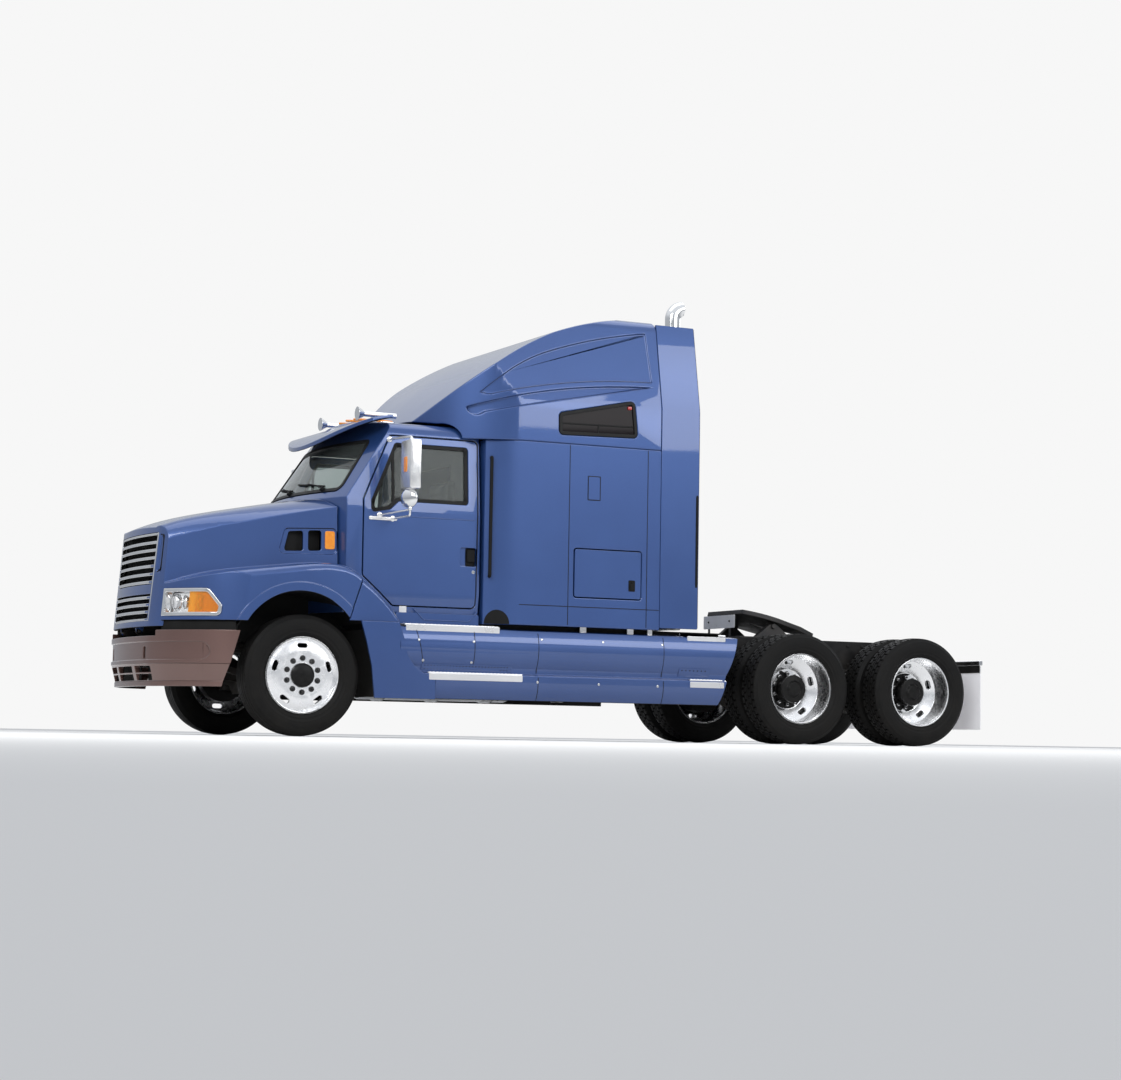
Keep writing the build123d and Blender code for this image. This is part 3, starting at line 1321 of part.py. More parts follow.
with BuildPart() as roof_fairing:
    add(roof_form(0.0))
    add(roof_form(FAIRING_T), mode=Mode.SUBTRACT)
    with Locations((AX + 1150.0, 0.0, 2300.0)):
        Box(1040.0, 2600.0, 2 * 320.0, mode=Mode.SUBTRACT)
    add(cab_form(-ROOF_CLEAR), mode=Mode.SUBTRACT)
    extrude(roof_window_sheet, amount=1300.0, both=True, mode=Mode.SUBTRACT)
    add(fairing_recess.part, mode=Mode.SUBTRACT)
    add(fairing_groove.part, mode=Mode.SUBTRACT)
save(roof_fairing.part, "roof_fairing")

# Roof windows: a dark pane in each side of the raised roof
with BuildPart() as roof_windows:
    add(roof_form(10.0))
    add(roof_form(18.0), mode=Mode.SUBTRACT)
    extrude(roof_window_sheet, amount=1300.0, both=True, mode=Mode.INTERSECT)
save(roof_windows.part, "roof_windows")

# Side extenders: a thin panel behind each side of the sleeper, with a long handle
EXTENDER_T = 30.0
EXTENDER_TOP = 3787.0
with BuildPart() as side_extenders:
    with BuildSketch(Plane.YZ.offset(SLEEPER_BACK)):
        with BuildLine():
            Polyline(
                (-SLEEPER_HALF, 1020.0),
                (-SLEEPER_HALF, 3000.0),
                (-1075.0, EXTENDER_TOP),
                (-1075.0 + EXTENDER_T, EXTENDER_TOP),
                (-SLEEPER_HALF + EXTENDER_T, 3000.0),
                (-SLEEPER_HALF + EXTENDER_T, 1020.0),
                close=True,
            )
        make_face()
    extrude(amount=EXTENDER_BACK - SLEEPER_BACK)
    with Locations((EXTENDER_BACK - 20.0, -SLEEPER_HALF + EXTENDER_T + 20.0, 1800.0)):
        Box(24.0, 40.0, 850.0)
    mirror(about=Plane.XZ)
save(side_extenders.part, "side_extenders")

# Side skirts: a flush panel behind the front wheel, then a long moulding with a foot
# recess above a ledge, cut at its rear end to the curve of the tyre
SKIRT_T = 24.0
with BuildPart() as skirt_long:
    with BuildSketch(Plane.YZ.offset(AX + 500.0)):
        with BuildLine():
            Polyline((-1120.0, 962.0), (-1185.0, 950.0))
            ThreePointArc((-1185.0, 950.0), (-SKIRT_OUT + 4.0, 860.0), (-1172.0, 610.0))
            Polyline(
                (-1172.0, 610.0), (-1172.0, 572.0), (-SKIRT_OUT + 2.0, 556.0), (-SKIRT_OUT + 2.0, 505.0)
            )
            ThreePointArc((-SKIRT_OUT + 2.0, 505.0), (-1206.0, 420.0), (-1170.0, 340.0))
            Line((-1170.0, 340.0), (-1170.0 + SKIRT_T, 340.0))
            ThreePointArc(
                (-1170.0 + SKIRT_T, 340.0),
                (-1206.0 + SKIRT_T, 420.0),
                (-SKIRT_OUT + 2.0 + SKIRT_T, 505.0),
            )
            Polyline(
                (-SKIRT_OUT + 2.0 + SKIRT_T, 505.0), (-SKIRT_OUT + 2.0 + SKIRT_T, 534.0),
                (-1172.0 + SKIRT_T, 546.0), (-1172.0 + SKIRT_T, 610.0),
            )
            ThreePointArc(
                (-1172.0 + SKIRT_T, 610.0), (-SKIRT_OUT + 4.0 + SKIRT_T, 860.0), (-1185.0 + SKIRT_T, 928.0)
            )
            Polyline((-1185.0 + SKIRT_T, 928.0), (-1120.0, 938.0), (-1120.0, 962.0))
        make_face()
    extrude(amount=3700.0)
with BuildPart() as side_skirts:
    add(skirt_long.part)
    with BuildSketch(Plane.XZ):
        with BuildLine():
            Polyline((AX + 850.0, 1000.0), (AX + 4197.0, 1000.0))
            ThreePointArc((AX + 4197.0, 1000.0), (AX + 4085.0, 650.0), (AX + 3984.0, 330.0))
            Polyline((AX + 3984.0, 330.0), (AX + 850.0, 330.0), (AX + 850.0, 1000.0))
        make_face()
    extrude(amount=1300.0, mode=Mode.INTERSECT)
    with BuildSketch(Plane.XZ.offset(SKIRT_OUT - SKIRT_T)):
        with BuildLine():
            Polyline(
                (AX + 489.0, 984.0), (AX + 540.0, 819.0), (AX + 591.0, 609.0), (AX + 622.0, 335.0),
                (AX + 1180.0, 335.0), (AX + 1180.0, 539.0), (AX + 1108.0, 539.0),
            )
            ThreePointArc((AX + 1108.0, 539.0), (AX + 950.0, 660.0), (AX + 888.0, 830.0))
            Polyline((AX + 888.0, 830.0), (AX + 838.0, 984.0), (AX + 489.0, 984.0))
        make_face()
    extrude(amount=SKIRT_T)
    mirror(about=Plane.XZ)
save(side_skirts.part, "side_skirts")

# Step plates: bright treads on the skirts' top edge and ledge
# distance behind the axle of front and rear end, underside, thickness
STEPS = (
    (894.0, 1773.0, 962.0, 16.0),
    (1112.0, 2003.0, 556.0, 14.0),
    (3644.0, 4050.0, 962.0, 16.0),
    (3671.0, 4010.0, 556.0, 14.0),
)
with BuildPart() as step_plates:
    for front, rear, low, thick in STEPS:
        inner = -1060.0 if low > 900.0 else -1172.0
        outer = -1195.0 if low > 900.0 else -SKIRT_OUT + 4.0
        with Locations((AX + (front + rear) / 2, (inner + outer) / 2, low + thick / 2)):
            Box(rear - front, inner - outer, thick)
    mirror(about=Plane.XZ)
    add(side_skirts.part, mode=Mode.SUBTRACT)
save(step_plates.part, "step_plates")

# Fifth wheel: a base on the rails, and a plate that tips on two pins. It rests tipped
# to the rear, against its stop.
FW_X = AX + 5020.0
FW_PIN_Z = 1120.0
FW_PIN_R = 24.0
FW_TILT = 14.0
with BuildPart() as fifth_wheel_base:
    for side in (-1, 1):
        with Locations((FW_X, side * 387.5, RAIL_TOP + 8.0)):
            Box(760.0, 89.0, 16.0)
    for side in (-1, 1):
        with BuildSketch(Plane.XZ.offset(side * 387.0 - 32.0)):
            with BuildLine():
                Polyline(
                    (FW_X - 190.0, RAIL_TOP + 16.0), (FW_X + 190.0, RAIL_TOP + 16.0),
                    (FW_X + 40.0, FW_PIN_Z + 16.0), (FW_X - 40.0, FW_PIN_Z + 16.0), close=True,
                )
            make_face()
        extrude(amount=64.0)
    with Locations((FW_X - 260.0, 0.0, RAIL_TOP + 8.0), (FW_X + 260.0, 0.0, RAIL_TOP + 8.0)):
        Box(90.0, 700.0, 16.0)
    for side in (-1, 1):
        with BuildSketch(Plane.XZ.offset(side * 381.0 - 59.0)):
            with Locations((FW_X, FW_PIN_Z)):
                Circle(FW_PIN_R)
        extrude(amount=118.0)
save(fifth_wheel_base.part, "fifth_wheel_base")

PLATE_T = 44.0
PLATE_FOOT = 36.0                         # underside of the plate above the pivot
LUG_T = 24.0
THROAT = 52.0
tilted_x = Vector(1, 0, 0).rotate(Axis.Y, FW_TILT)
tilted_z = Vector(0, 0, 1).rotate(Axis.Y, FW_TILT)
plate_plane = Plane(origin=(FW_X, 0.0, FW_PIN_Z), x_dir=tilted_x, z_dir=tilted_z)
with BuildPart() as fifth_wheel_plate:
    with BuildSketch(plate_plane.offset(PLATE_FOOT)):
        with BuildLine():
            Polyline((-320.0, -330.0), (-320.0, 330.0))
            ThreePointArc((-320.0, 330.0), (-180.0, 430.0), (40.0, 460.0))
            Polyline(
                (40.0, 460.0), (300.0, 420.0), (520.0, 300.0), (520.0, 210.0), (60.0, THROAT / 2 + 4.0),
                (0.0, THROAT / 2),
            )
            ThreePointArc((0.0, THROAT / 2), (-THROAT / 2, 0.0), (0.0, -THROAT / 2))
            Polyline(
                (0.0, -THROAT / 2), (60.0, -THROAT / 2 - 4.0), (520.0, -210.0), (520.0, -300.0),
                (300.0, -420.0), (40.0, -460.0),
            )
            ThreePointArc((40.0, -460.0), (-180.0, -430.0), (-320.0, -330.0))
        make_face()
    extrude(amount=PLATE_T)
    for side in (-1, 1):
        lug_plane = Plane(
            origin=(FW_X, side * 336.0 + LUG_T / 2, FW_PIN_Z), x_dir=tilted_x, z_dir=(0, -1, 0)
        )
        with BuildSketch(lug_plane):
            Circle(42.0)
            with Locations((0.0, PLATE_FOOT / 2)):
                Rectangle(84.0, PLATE_FOOT)
            Circle(FW_PIN_R + 1.0, mode=Mode.SUBTRACT)
        extrude(amount=LUG_T)
save(fifth_wheel_plate.part, "fifth_wheel_plate")

# Mudflaps: a bright bar across the end of the frame, with a flap behind each pair of wheels
BAR_X = AX + 6870.0
with BuildPart() as mudflap_bar:
    with Locations((BAR_X, 0.0, 805.0)):
        Box(40.0, 2400.0, 46.0)
save(mudflap_bar.part, "mudflap_bar")
with BuildPart() as mudflaps:
    for side in (-1, 1):
        with Locations((BAR_X - 4.0, side * 900.0, 475.0)):
            Box(10.0, 600.0, 614.0)
save(mudflaps.part, "mudflaps")

# Exhaust stacks: an upright pipe behind each corner of the sleeper, turned back at the top
STACK_X = AX + 3590.0
STACK_Y = 950.0
STACK_R = 70.0
with BuildPart() as exhaust_stacks:
    with BuildSketch(Plane.XY.offset(1020.0)):
        with Locations((STACK_X, -STACK_Y)):
            Circle(105.0)
    extrude(amount=1500.0)
    with BuildLine(Plane.XZ.offset(STACK_Y)) as stack_line:
        Line((STACK_X, 2520.0), (STACK_X, 3880.0))
        ThreePointArc((STACK_X, 3880.0), (STACK_X + 26.0, 3944.0), (STACK_X + 90.0, 3975.0))
    with BuildSketch(Plane.XY.offset(2520.0)):
        with Locations((STACK_X, -STACK_Y)):
            Circle(STACK_R)
    sweep(path=stack_line.line)
    with Locations((STACK_X, -700.0, 1055.0)):
        Box(120.0, 620.0, 70.0)
    mirror(about=Plane.XZ)
save(exhaust_stacks.part, "exhaust_stacks")

# Mirrors: an upright head and a round wide-angle mirror, on a tube frame from the door
MIRROR_Y = 1390.0
with BuildPart() as mirror_left:
    with BuildSketch(Plane.XY.offset(2120.0)):
        with Locations((AX + 850.0, -MIRROR_Y)):
            RectangleRounded(90.0, 200.0, 30.0)
    extrude(amount=400.0)
    with BuildSketch(Plane.YZ.offset(AX + 820.0)):
        with Locations((-MIRROR_Y, 2035.0)):
            Circle(90.0)
    extrude(amount=40.0)
    with Locations((AX + 845.0, -MIRROR_Y, 2120.0)):
        Box(24.0, 24.0, 60.0)
    with Locations((AX + 860.0, -1190.0, 2560.0)):
        Box(24.0, 440.0, 24.0)
    with Locations((AX + 860.0, -MIRROR_Y, 2540.0)):
        Box(24.0, 24.0, 60.0)
    with Locations((AX + 845.0, -1215.0, 1880.0)):
        Box(24.0, 366.0, 24.0)
    with Locations((AX + 845.0, -MIRROR_Y, 1915.0)):
        Box(24.0, 24.0, 90.0)
    add(cab_outer, mode=Mode.SUBTRACT)
save(mirror_left.part, "mirror_left")
with BuildPart() as mirror_right:
    mirror(mirror_left.part, about=Plane.XZ)
save(mirror_right.part, "mirror_right")

# Roof lamps and air horns
LAMP_Y = (-620.0, -180.0, 0.0, 180.0, 620.0)
with BuildPart() as roof_lamps:
    for y in LAMP_Y:
        with BuildSketch(Plane.XY.offset(2740.0 - 0.00009 * y * y)):
            with Locations((AX + 850.0 + 0.00012 * y * y, y)):
                Ellipse(80.0, 34.0)
        extrude(amount=66.0)
    add(cab_outer, mode=Mode.SUBTRACT)
save(roof_lamps.part, "roof_lamps")
with BuildPart() as air_horns:
    for y in (-460.0, 460.0):
        with BuildSketch(Plane.YZ.offset(AX + 700.0)):
            with Locations((y, 2850.0)):
                Circle(62.0)
        extrude(amount=60.0, taper=30.0)
        with BuildSketch(Plane.YZ.offset(AX + 740.0)):
            with Locations((y, 2850.0)):
                Circle(24.0)
        extrude(amount=330.0)
        with Locations((AX + 900.0, y, 2814.0)):
            Box(40.0, 24.0, 72.0)
save(air_horns.part, "air_horns")

# Inside the cab: dashboard, steering wheel, two seats, and a bunk in the sleeper
with BuildPart() as dashboard:
    with BuildSketch(Plane.XZ):
        with BuildLine():
            Polyline(
                (AX + 480.0, 1500.0), (AX + 480.0, 2060.0), (AX + 640.0, 2060.0), (AX + 760.0, 1960.0),
                (AX + 740.0, 1500.0), close=True,
            )
        make_face()
    extrude(amount=880.0, both=True)
    with Locations((AX + 500.0, 0.0, 1400.0)):
        Box(40.0, 1700.0, 590.0)
save(dashboard.part, "dashboard")
with BuildPart() as steering_wheel:
    wheel_plane = Plane(
        origin=(AX + 940.0, -480.0, 1860.0), x_dir=(0, 1, 0), z_dir=Vector(1, 0, 0).rotate(Axis.Y, -55.0)
    )
    with BuildSketch(wheel_plane):
        Circle(235.0)
        Circle(205.0, mode=Mode.SUBTRACT)
        with PolarLocations(105.0, 4):
            Rectangle(212.0, 26.0)
        Circle(60.0)
    extrude(amount=30.0)
    with BuildSketch(wheel_plane.offset(2.0)):
        Circle(36.0)
    extrude(amount=-290.0)
    add(dashboard.part, mode=Mode.SUBTRACT)
save(steering_wheel.part, "steering_wheel")
with BuildPart() as seats:
    for y in (-480.0, 480.0):
        with BuildSketch(Plane.XZ.offset(-y - 250.0)):
            with BuildLine():
                Polyline(
                    (AX + 1010.0, 1500.0), (AX + 1010.0, 1610.0), (AX + 1400.0, 1620.0),
                    (AX + 1480.0, 2330.0), (AX + 1590.0, 2320.0), (AX + 1510.0, 1500.0), close=True,
                )
            make_face()
        extrude(amount=500.0)
        with Locations((AX + 1240.0, y, 1302.5)):
            Box(360.0, 360.0, 395.0)
save(seats.part, "seats")
with BuildPart() as bunk:
    with Locations((SLEEPER_BACK - SLEEPER_WALL - 400.0, 0.0, 1785.0)):
        Box(800.0, 2 * (SLEEPER_HALF - SLEEPER_WALL), 170.0)
save(bunk.part, "bunk")
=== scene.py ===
import bpy
import json
import math
from mathutils import Matrix, Vector
from mathutils.bvhtree import BVHTree

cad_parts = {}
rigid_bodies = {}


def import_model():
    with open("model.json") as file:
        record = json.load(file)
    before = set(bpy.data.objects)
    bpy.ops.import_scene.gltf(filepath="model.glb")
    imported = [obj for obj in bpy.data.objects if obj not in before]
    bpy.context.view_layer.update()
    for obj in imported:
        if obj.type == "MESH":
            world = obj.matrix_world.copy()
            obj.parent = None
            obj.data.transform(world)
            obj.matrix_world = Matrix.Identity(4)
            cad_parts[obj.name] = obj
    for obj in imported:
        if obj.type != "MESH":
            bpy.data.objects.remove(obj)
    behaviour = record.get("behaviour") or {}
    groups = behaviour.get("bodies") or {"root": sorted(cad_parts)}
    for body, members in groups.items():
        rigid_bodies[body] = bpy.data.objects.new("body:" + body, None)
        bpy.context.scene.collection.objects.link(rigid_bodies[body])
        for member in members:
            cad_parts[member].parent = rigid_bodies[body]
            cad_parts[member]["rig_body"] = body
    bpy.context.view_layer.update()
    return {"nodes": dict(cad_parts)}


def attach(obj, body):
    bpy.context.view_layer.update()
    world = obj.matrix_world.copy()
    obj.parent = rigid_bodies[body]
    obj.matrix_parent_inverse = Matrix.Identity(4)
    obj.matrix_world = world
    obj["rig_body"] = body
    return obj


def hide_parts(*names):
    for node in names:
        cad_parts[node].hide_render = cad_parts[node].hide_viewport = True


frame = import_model()
nodes = frame["nodes"]

# Camera and studio. The camera stands low on the left, ahead of the front axle, as in the
# photograph, and looks slightly up. The floor and the walls are one pale sheet,
# lit by large soft lamps.
FOCAL_PX = 2466.6
FRAME_PX = 1121
SENSOR = 36.0
EYE = Vector((-10.0225, -20.672, 0.03))
YAW = math.radians(26.108)
PITCH = math.radians(4.57)
ROLL = math.radians(0.97)
forward = Vector((math.sin(YAW) * math.cos(PITCH), math.cos(YAW) * math.cos(PITCH), math.sin(PITCH)))
level = Vector((math.cos(YAW), -math.sin(YAW), 0.0))
upright = level.cross(forward)
right = level * math.cos(ROLL) + upright * math.sin(ROLL)
up = upright * math.cos(ROLL) - level * math.sin(ROLL)
bpy.ops.object.camera_add(location=EYE)
camera = bpy.context.object
camera.matrix_world = Matrix.Translation(EYE) @ Matrix((right, up, -forward)).transposed().to_4x4()
camera.data.sensor_width = SENSOR
camera.data.lens = FOCAL_PX / FRAME_PX * SENSOR
camera.data.clip_end = 400.0
bpy.context.scene.camera = camera
bpy.context.scene.view_settings.view_transform = "Standard"

PALE = (0.78, 0.78, 0.77, 1.0)
bpy.ops.mesh.primitive_circle_add(vertices=96, radius=90.0, fill_type="NGON", location=(0.0, 0.0, 0.0))
floor = bpy.context.object
floor.name = "studio_floor"
studio_floor = bpy.data.materials.new("studio_floor")
studio_floor.use_nodes = True
studio_floor.node_tree.nodes["Principled BSDF"].inputs["Base Color"].default_value = PALE
studio_floor.node_tree.nodes["Principled BSDF"].inputs["Roughness"].default_value = 0.9
floor.data.materials.append(studio_floor)


def wire(tree, kind, output, inputs=None, **settings):
    """Adds a shader node, sets its inputs or leads other outputs into them, and gives one output."""
    made = tree.nodes.new("ShaderNode" + kind)
    for setting, value in settings.items():
        setattr(made, setting, value)
    for socket, value in (inputs or {}).items():
        if isinstance(value, bpy.types.NodeSocket):
            tree.links.new(value, made.inputs[socket])
        else:
            made.inputs[socket].default_value = value
    return made.outputs[output]


def two_tones(tree, value, low_at, low, high_at, high):
    """A colour that goes from one tone to another as a value rises."""
    ramp = tree.nodes.new("ShaderNodeValToRGB")
    for stop, place, tone in zip(ramp.color_ramp.elements, (low_at, high_at), (low, high)):
        stop.position = place
        stop.color = (*tone, 1.0)
    tree.links.new(value, ramp.inputs["Fac"])
    return ramp.outputs["Color"]


SHEET = (0.93, 0.93, 0.93, 1.0)
world = bpy.data.worlds.new("studio_walls")
world.use_nodes = True
bpy.context.scene.world = world
walls = world.node_tree
height = wire(walls, "SeparateXYZ", "Z", {"Vector": wire(walls, "TexCoord", "Generated")})
glow = two_tones(walls, height, 0.05, (0.30, 0.31, 0.34), 0.55, (0.70, 0.72, 0.76))
mirrored = two_tones(walls, height, 0.05, (0.36, 0.38, 0.41), 0.55, (0.84, 0.87, 0.92))
for ray, behind in (("Is Glossy Ray", mirrored), ("Is Transmission Ray", SHEET), ("Is Camera Ray", SHEET)):
    seen = wire(walls, "LightPath", ray)
    glow = wire(walls, "Mix", "Result", {"Factor": seen, "A": glow, "B": behind}, data_type="RGBA")
walls.nodes["Background"].inputs["Strength"].default_value = 1.0
walls.links.new(glow, walls.nodes["Background"].inputs["Color"])

# where each soft lamp hangs, its size in metres and its power in watts
for lamp_name, place, size, power in (
    ("key_lamp", (-11.0, -11.0, 9.5), (9.0, 6.0), 1000.0),
    ("side_lamp", (6.0, -14.0, 7.0), (9.0, 5.0), 520.0),
    ("top_lamp", (0.0, 0.0, 12.0), (14.0, 7.0), 350.0),
    ("back_lamp", (13.0, 10.0, 9.0), (8.0, 5.0), 520.0),
):
    bpy.ops.object.light_add(type="AREA", location=place)
    lamp = bpy.context.object
    lamp.name = lamp_name
    lamp.data.shape = "RECTANGLE"
    lamp.data.size, lamp.data.size_y = size
    lamp.data.energy = power
    lamp.rotation_euler = (Vector((0.0, 0.0, 1.4)) - Vector(place)).to_track_quat("-Z", "Y").to_euler()

# Frame: two pressed steel rails with cross members, brackets, springs and the axles that
# they carry, bolted up and sprayed satin black, with road dust low down.
ROAD_DUST = (0.19, 0.165, 0.135, 1.0)
DUST_ROUGHNESS = 0.85


def relief(tree, where, scale, detail, strength, distance):
    """The normal of a finely uneven surface."""
    grain = wire(tree, "TexNoise", "Fac", {"Vector": where, "Scale": scale, "Detail": detail})
    return wire(tree, "Bump", "Normal", {"Height": grain, "Strength": strength, "Distance": distance})


def finish(name, colour, second, spread, roughness, bump=0.0, bump_scale=200.0, dust=0.0, **sockets):
    """A surface whose colour drifts between two tones, with uneven gloss, fine relief and road dust."""
    made = bpy.data.materials.new(name)
    made.use_nodes = True
    tree = made.node_tree
    shader = tree.nodes["Principled BSDF"]
    where = wire(tree, "TexCoord", "Object")
    cloud = wire(tree, "TexNoise", "Fac", {"Vector": where, "Scale": spread, "Detail": 6.0})
    paint = two_tones(tree, cloud, 0.35, colour, 0.75, second)
    gloss = wire(tree, "MapRange", "Result", {"Value": cloud, "From Min": 0.3, "From Max": 0.7,
                                              "To Min": roughness[0], "To Max": roughness[1]})
    if dust:
        rise = wire(tree, "SeparateXYZ", "Z", {"Vector": where})
        low = wire(tree, "MapRange", "Result", {"Value": rise, "From Min": 1.0, "From Max": 0.25})
        patch = wire(tree, "Math", "Value", {0: low, 1: cloud}, operation="MULTIPLY")
        thin = wire(tree, "Math", "Value", {0: patch, 1: dust}, operation="MULTIPLY")
        paint = wire(tree, "Mix", "Result", {"Factor": thin, "A": paint, "B": ROAD_DUST}, data_type="RGBA")
        gloss = wire(tree, "Mix", "Result", {"Factor": thin, "A": gloss, "B": DUST_ROUGHNESS})
    tree.links.new(paint, shader.inputs["Base Color"])
    tree.links.new(gloss, shader.inputs["Roughness"])
    if bump:
        tree.links.new(relief(tree, where, bump_scale, 3.0, bump, 0.001), shader.inputs["Normal"])
    for socket, value in sockets.items():
        shader.inputs[socket.replace("_", " ")].default_value = value
    return made


def pick_up(piece):
    """Selects one piece alone, ready to be worked on."""
    bpy.ops.object.select_all(action="DESELECT")
    piece.select_set(True)
    bpy.context.view_layer.objects.active = piece


def open_mesh(piece):
    """Opens a piece in edit mode, with all of it selected."""
    pick_up(piece)
    bpy.ops.object.mode_set(mode="EDIT")
    bpy.ops.mesh.select_all(action="SELECT")


def work(piece, kind, **settings):
    """Runs one modifier over a piece and applies it."""
    pick_up(piece)
    bpy.ops.object.modifier_add(type=kind)
    tool = piece.modifiers[-1]
    for setting, value in settings.items():
        setattr(tool, setting, value)
    bpy.ops.object.modifier_apply(modifier=tool.name)


def smooth(piece, angle):
    """Lets a piece's faces shade as one, up to an angle between them."""
    pick_up(piece)
    bpy.ops.object.shade_smooth_by_angle(angle=math.radians(angle))
    return piece


def copy_of(node, name):
    """A welded copy of a CAD node, whose flat faces are whole again."""
    piece = bpy.data.objects.new(name, nodes[node].data.copy())
    bpy.context.scene.collection.objects.link(piece)
    open_mesh(piece)
    bpy.ops.mesh.remove_doubles(threshold=0.00002)
    bpy.ops.mesh.customdata_custom_splitnormals_clear()
    bpy.ops.mesh.dissolve_limited(angle_limit=math.radians(0.6))
    bpy.ops.object.mode_set(mode="OBJECT")
    return piece


def roll_edges(piece, width, steps, angle):
    """Rounds a piece's edges and lets its curved faces shade as one."""
    work(piece, "BEVEL", width=width, segments=steps, limit_method="ANGLE", angle_limit=math.radians(angle),
         use_clamp_overlap=False, miter_outer="MITER_ARC")
    smooth(piece, angle)
    work(piece, "WEIGHTED_NORMAL", keep_sharp=True, weight=60)


def paint_faces(piece, wanted, index=1):
    """Gives the faces that a test picks the piece's next finish."""
    while len(piece.data.materials) <= index:
        piece.data.materials.append(None)
    for face in piece.data.polygons:
        if wanted(face.center, face.normal):
            face.material_index = index


def fix_on(piece, name, body, slot, materials, *stands_for):
    """Settles a finished piece in the truck's frame and fixes it to the body that carries it."""
    pick_up(piece)
    bpy.ops.object.transform_apply(location=True, rotation=True, scale=True)
    piece.name = name
    piece.data.name = name
    if not isinstance(materials, tuple):
        materials = (materials,)
    while len(piece.data.materials) > len(materials):
        piece.data.materials.pop()
    for place, material in enumerate(materials):
        if place < len(piece.data.materials):
            piece.data.materials[place] = material
        else:
            piece.data.materials.append(material)
    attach(piece, body)
    if stands_for:
        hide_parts(*stands_for)
    return piece


def dress(node, name, slot, materials, width, steps, angle, second=None):
    """Puts a copy with rolled edges in a CAD node's place. A test picks the faces of its second finish."""
    piece = copy_of(node, name)
    roll_edges(piece, width, steps, angle)
    if second:
        paint_faces(piece, second)
    return fix_on(piece, name, nodes[node]["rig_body"], slot, materials, node)


chassis_black = finish("chassis_black", (0.008, 0.008, 0.009), (0.020, 0.019, 0.018), 7.0, (0.32, 0.58), 0.3,
                       260.0, dust=0.35, Specular_IOR_Level=0.3)
for node_name in ("frame_rails", "crossmembers", "frame_brackets", "leaf_springs", "drive_suspension",
                  "propshafts", "front_axle", "tie_rod", "knuckle_left", "knuckle_right", "drive_axles"):
    dress(node_name, node_name + "_steel", "chassis_black", chassis_black, 0.0015, 1, 40.0)

# Bolts: the rails are full of flanged bolt heads where brackets and cross members go on.
# One head is made and set out in rows along both rails' outer faces.
FRONT_AXLE = -2.8375
RAIL_FACE = 0.432
RAIL_ROWS = (0.775, 0.955)
FIRST_BOLT = -0.78
BOLT_PITCH = 0.158
SIDES = (("left", -1), ("right", 1))
UPRIGHT = (0.0, 0.0, 0.0)
ALONG_X = (0.0, math.radians(90.0), 0.0)
ALONG_Y = (math.radians(90.0), 0.0, 0.0)


def at(x, y, z):
    """A point whose x is measured back from the front axle."""
    return Vector((FRONT_AXLE + x, y, z))


def drum(radius, depth, place=(0.0, 0.0, 0.0), sides=20, turned=UPRIGHT, roll=0.0, ends="NGON"):
    """A short round bar, with its two ends rounded off where a roll is given."""
    bpy.ops.object.select_all(action="DESELECT")
    bpy.ops.mesh.primitive_cylinder_add(vertices=sides, radius=radius, depth=depth, end_fill_type=ends,
                                        location=place, rotation=turned)
    piece = bpy.context.object
    if roll:
        work(piece, "BEVEL", width=roll, segments=2)
    return piece


def round_off(piece, width, steps, angle=60.0):
    """Rounds the edges that are sharper than an angle."""
    work(piece, "BEVEL", width=width, segments=steps, limit_method="ANGLE", angle_limit=math.radians(angle))
    return piece


def bolt_head(radius, height):
    """A hexagon head on a round washer, standing on the ground plane."""
    washer = drum(radius * 1.35, height * 0.3, (0.0, 0.0, height * 0.15), 12)
    head = drum(radius, height * 0.75, (0.0, 0.0, height * 0.62), 6)
    bpy.ops.object.mode_set(mode="EDIT")
    bpy.ops.mesh.select_all(action="DESELECT")
    bpy.ops.object.mode_set(mode="OBJECT")
    top = max(head.data.polygons, key=lambda face: face.center.z)
    top.select = True
    bpy.ops.object.mode_set(mode="EDIT")
    bpy.ops.mesh.select_mode(type="FACE")
    bpy.ops.mesh.inset(thickness=radius * 0.16)
    bpy.ops.transform.translate(value=(0.0, 0.0, height * 0.1))
    bpy.ops.object.mode_set(mode="OBJECT")
    washer.select_set(True)
    bpy.ops.object.join()
    bpy.ops.object.transform_apply(location=True, rotation=True, scale=True)
    return bpy.context.object


def join_up(pieces, angle=None):
    """Joins a list of pieces into the first, and smooths it where an angle is given."""
    bpy.ops.object.select_all(action="DESELECT")
    for one in pieces:
        one.select_set(True)
    bpy.context.view_layer.objects.active = pieces[0]
    if len(pieces) > 1:
        bpy.ops.object.join()
    return smooth(pieces[0], angle) if angle else pieces[0]


def facing_out(spot, way):
    """The place of a small part whose top looks a given way."""
    return Matrix.Translation(spot) @ Vector(way).to_track_quat("Z", "Y").to_matrix().to_4x4()


def set_out(pattern, places):
    """Copies a small piece to each place, as one mesh."""
    made = []
    for place in places:
        one = bpy.data.objects.new("copy", pattern.data.copy())
        bpy.context.scene.collection.objects.link(one)
        one.matrix_world = place
        made.append(one)
    return join_up(made)


rail_bolt = bolt_head(0.013, 0.012)
rail_places = [facing_out(at(FIRST_BOLT + place * BOLT_PITCH, side * RAIL_FACE, row), (0.0, side, 0.0))
               for side in (-1, 1) for place in range(48) for row in RAIL_ROWS if place % 6 < 4]
fix_on(set_out(rail_bolt, rail_places), "rail_bolts", "chassis", "chassis_black", chassis_black)
bpy.data.objects.remove(rail_bolt)

# Engine, radiator and driveline castings, seen from below and with the hood tipped: grey
# iron and aluminium castings with a dusty skin.
cast_iron = finish("cast_iron", (0.045, 0.045, 0.047), (0.085, 0.08, 0.075), 11.0, (0.45, 0.7), 0.6, 180.0,
                   dust=0.5, Metallic=0.55)
for node_name, roll in (("engine_block", 0.010), ("fifth_wheel_base", 0.004)):
    dress(node_name, node_name + "_cast", "cast_metal", cast_iron, roll, 3, 35.0)

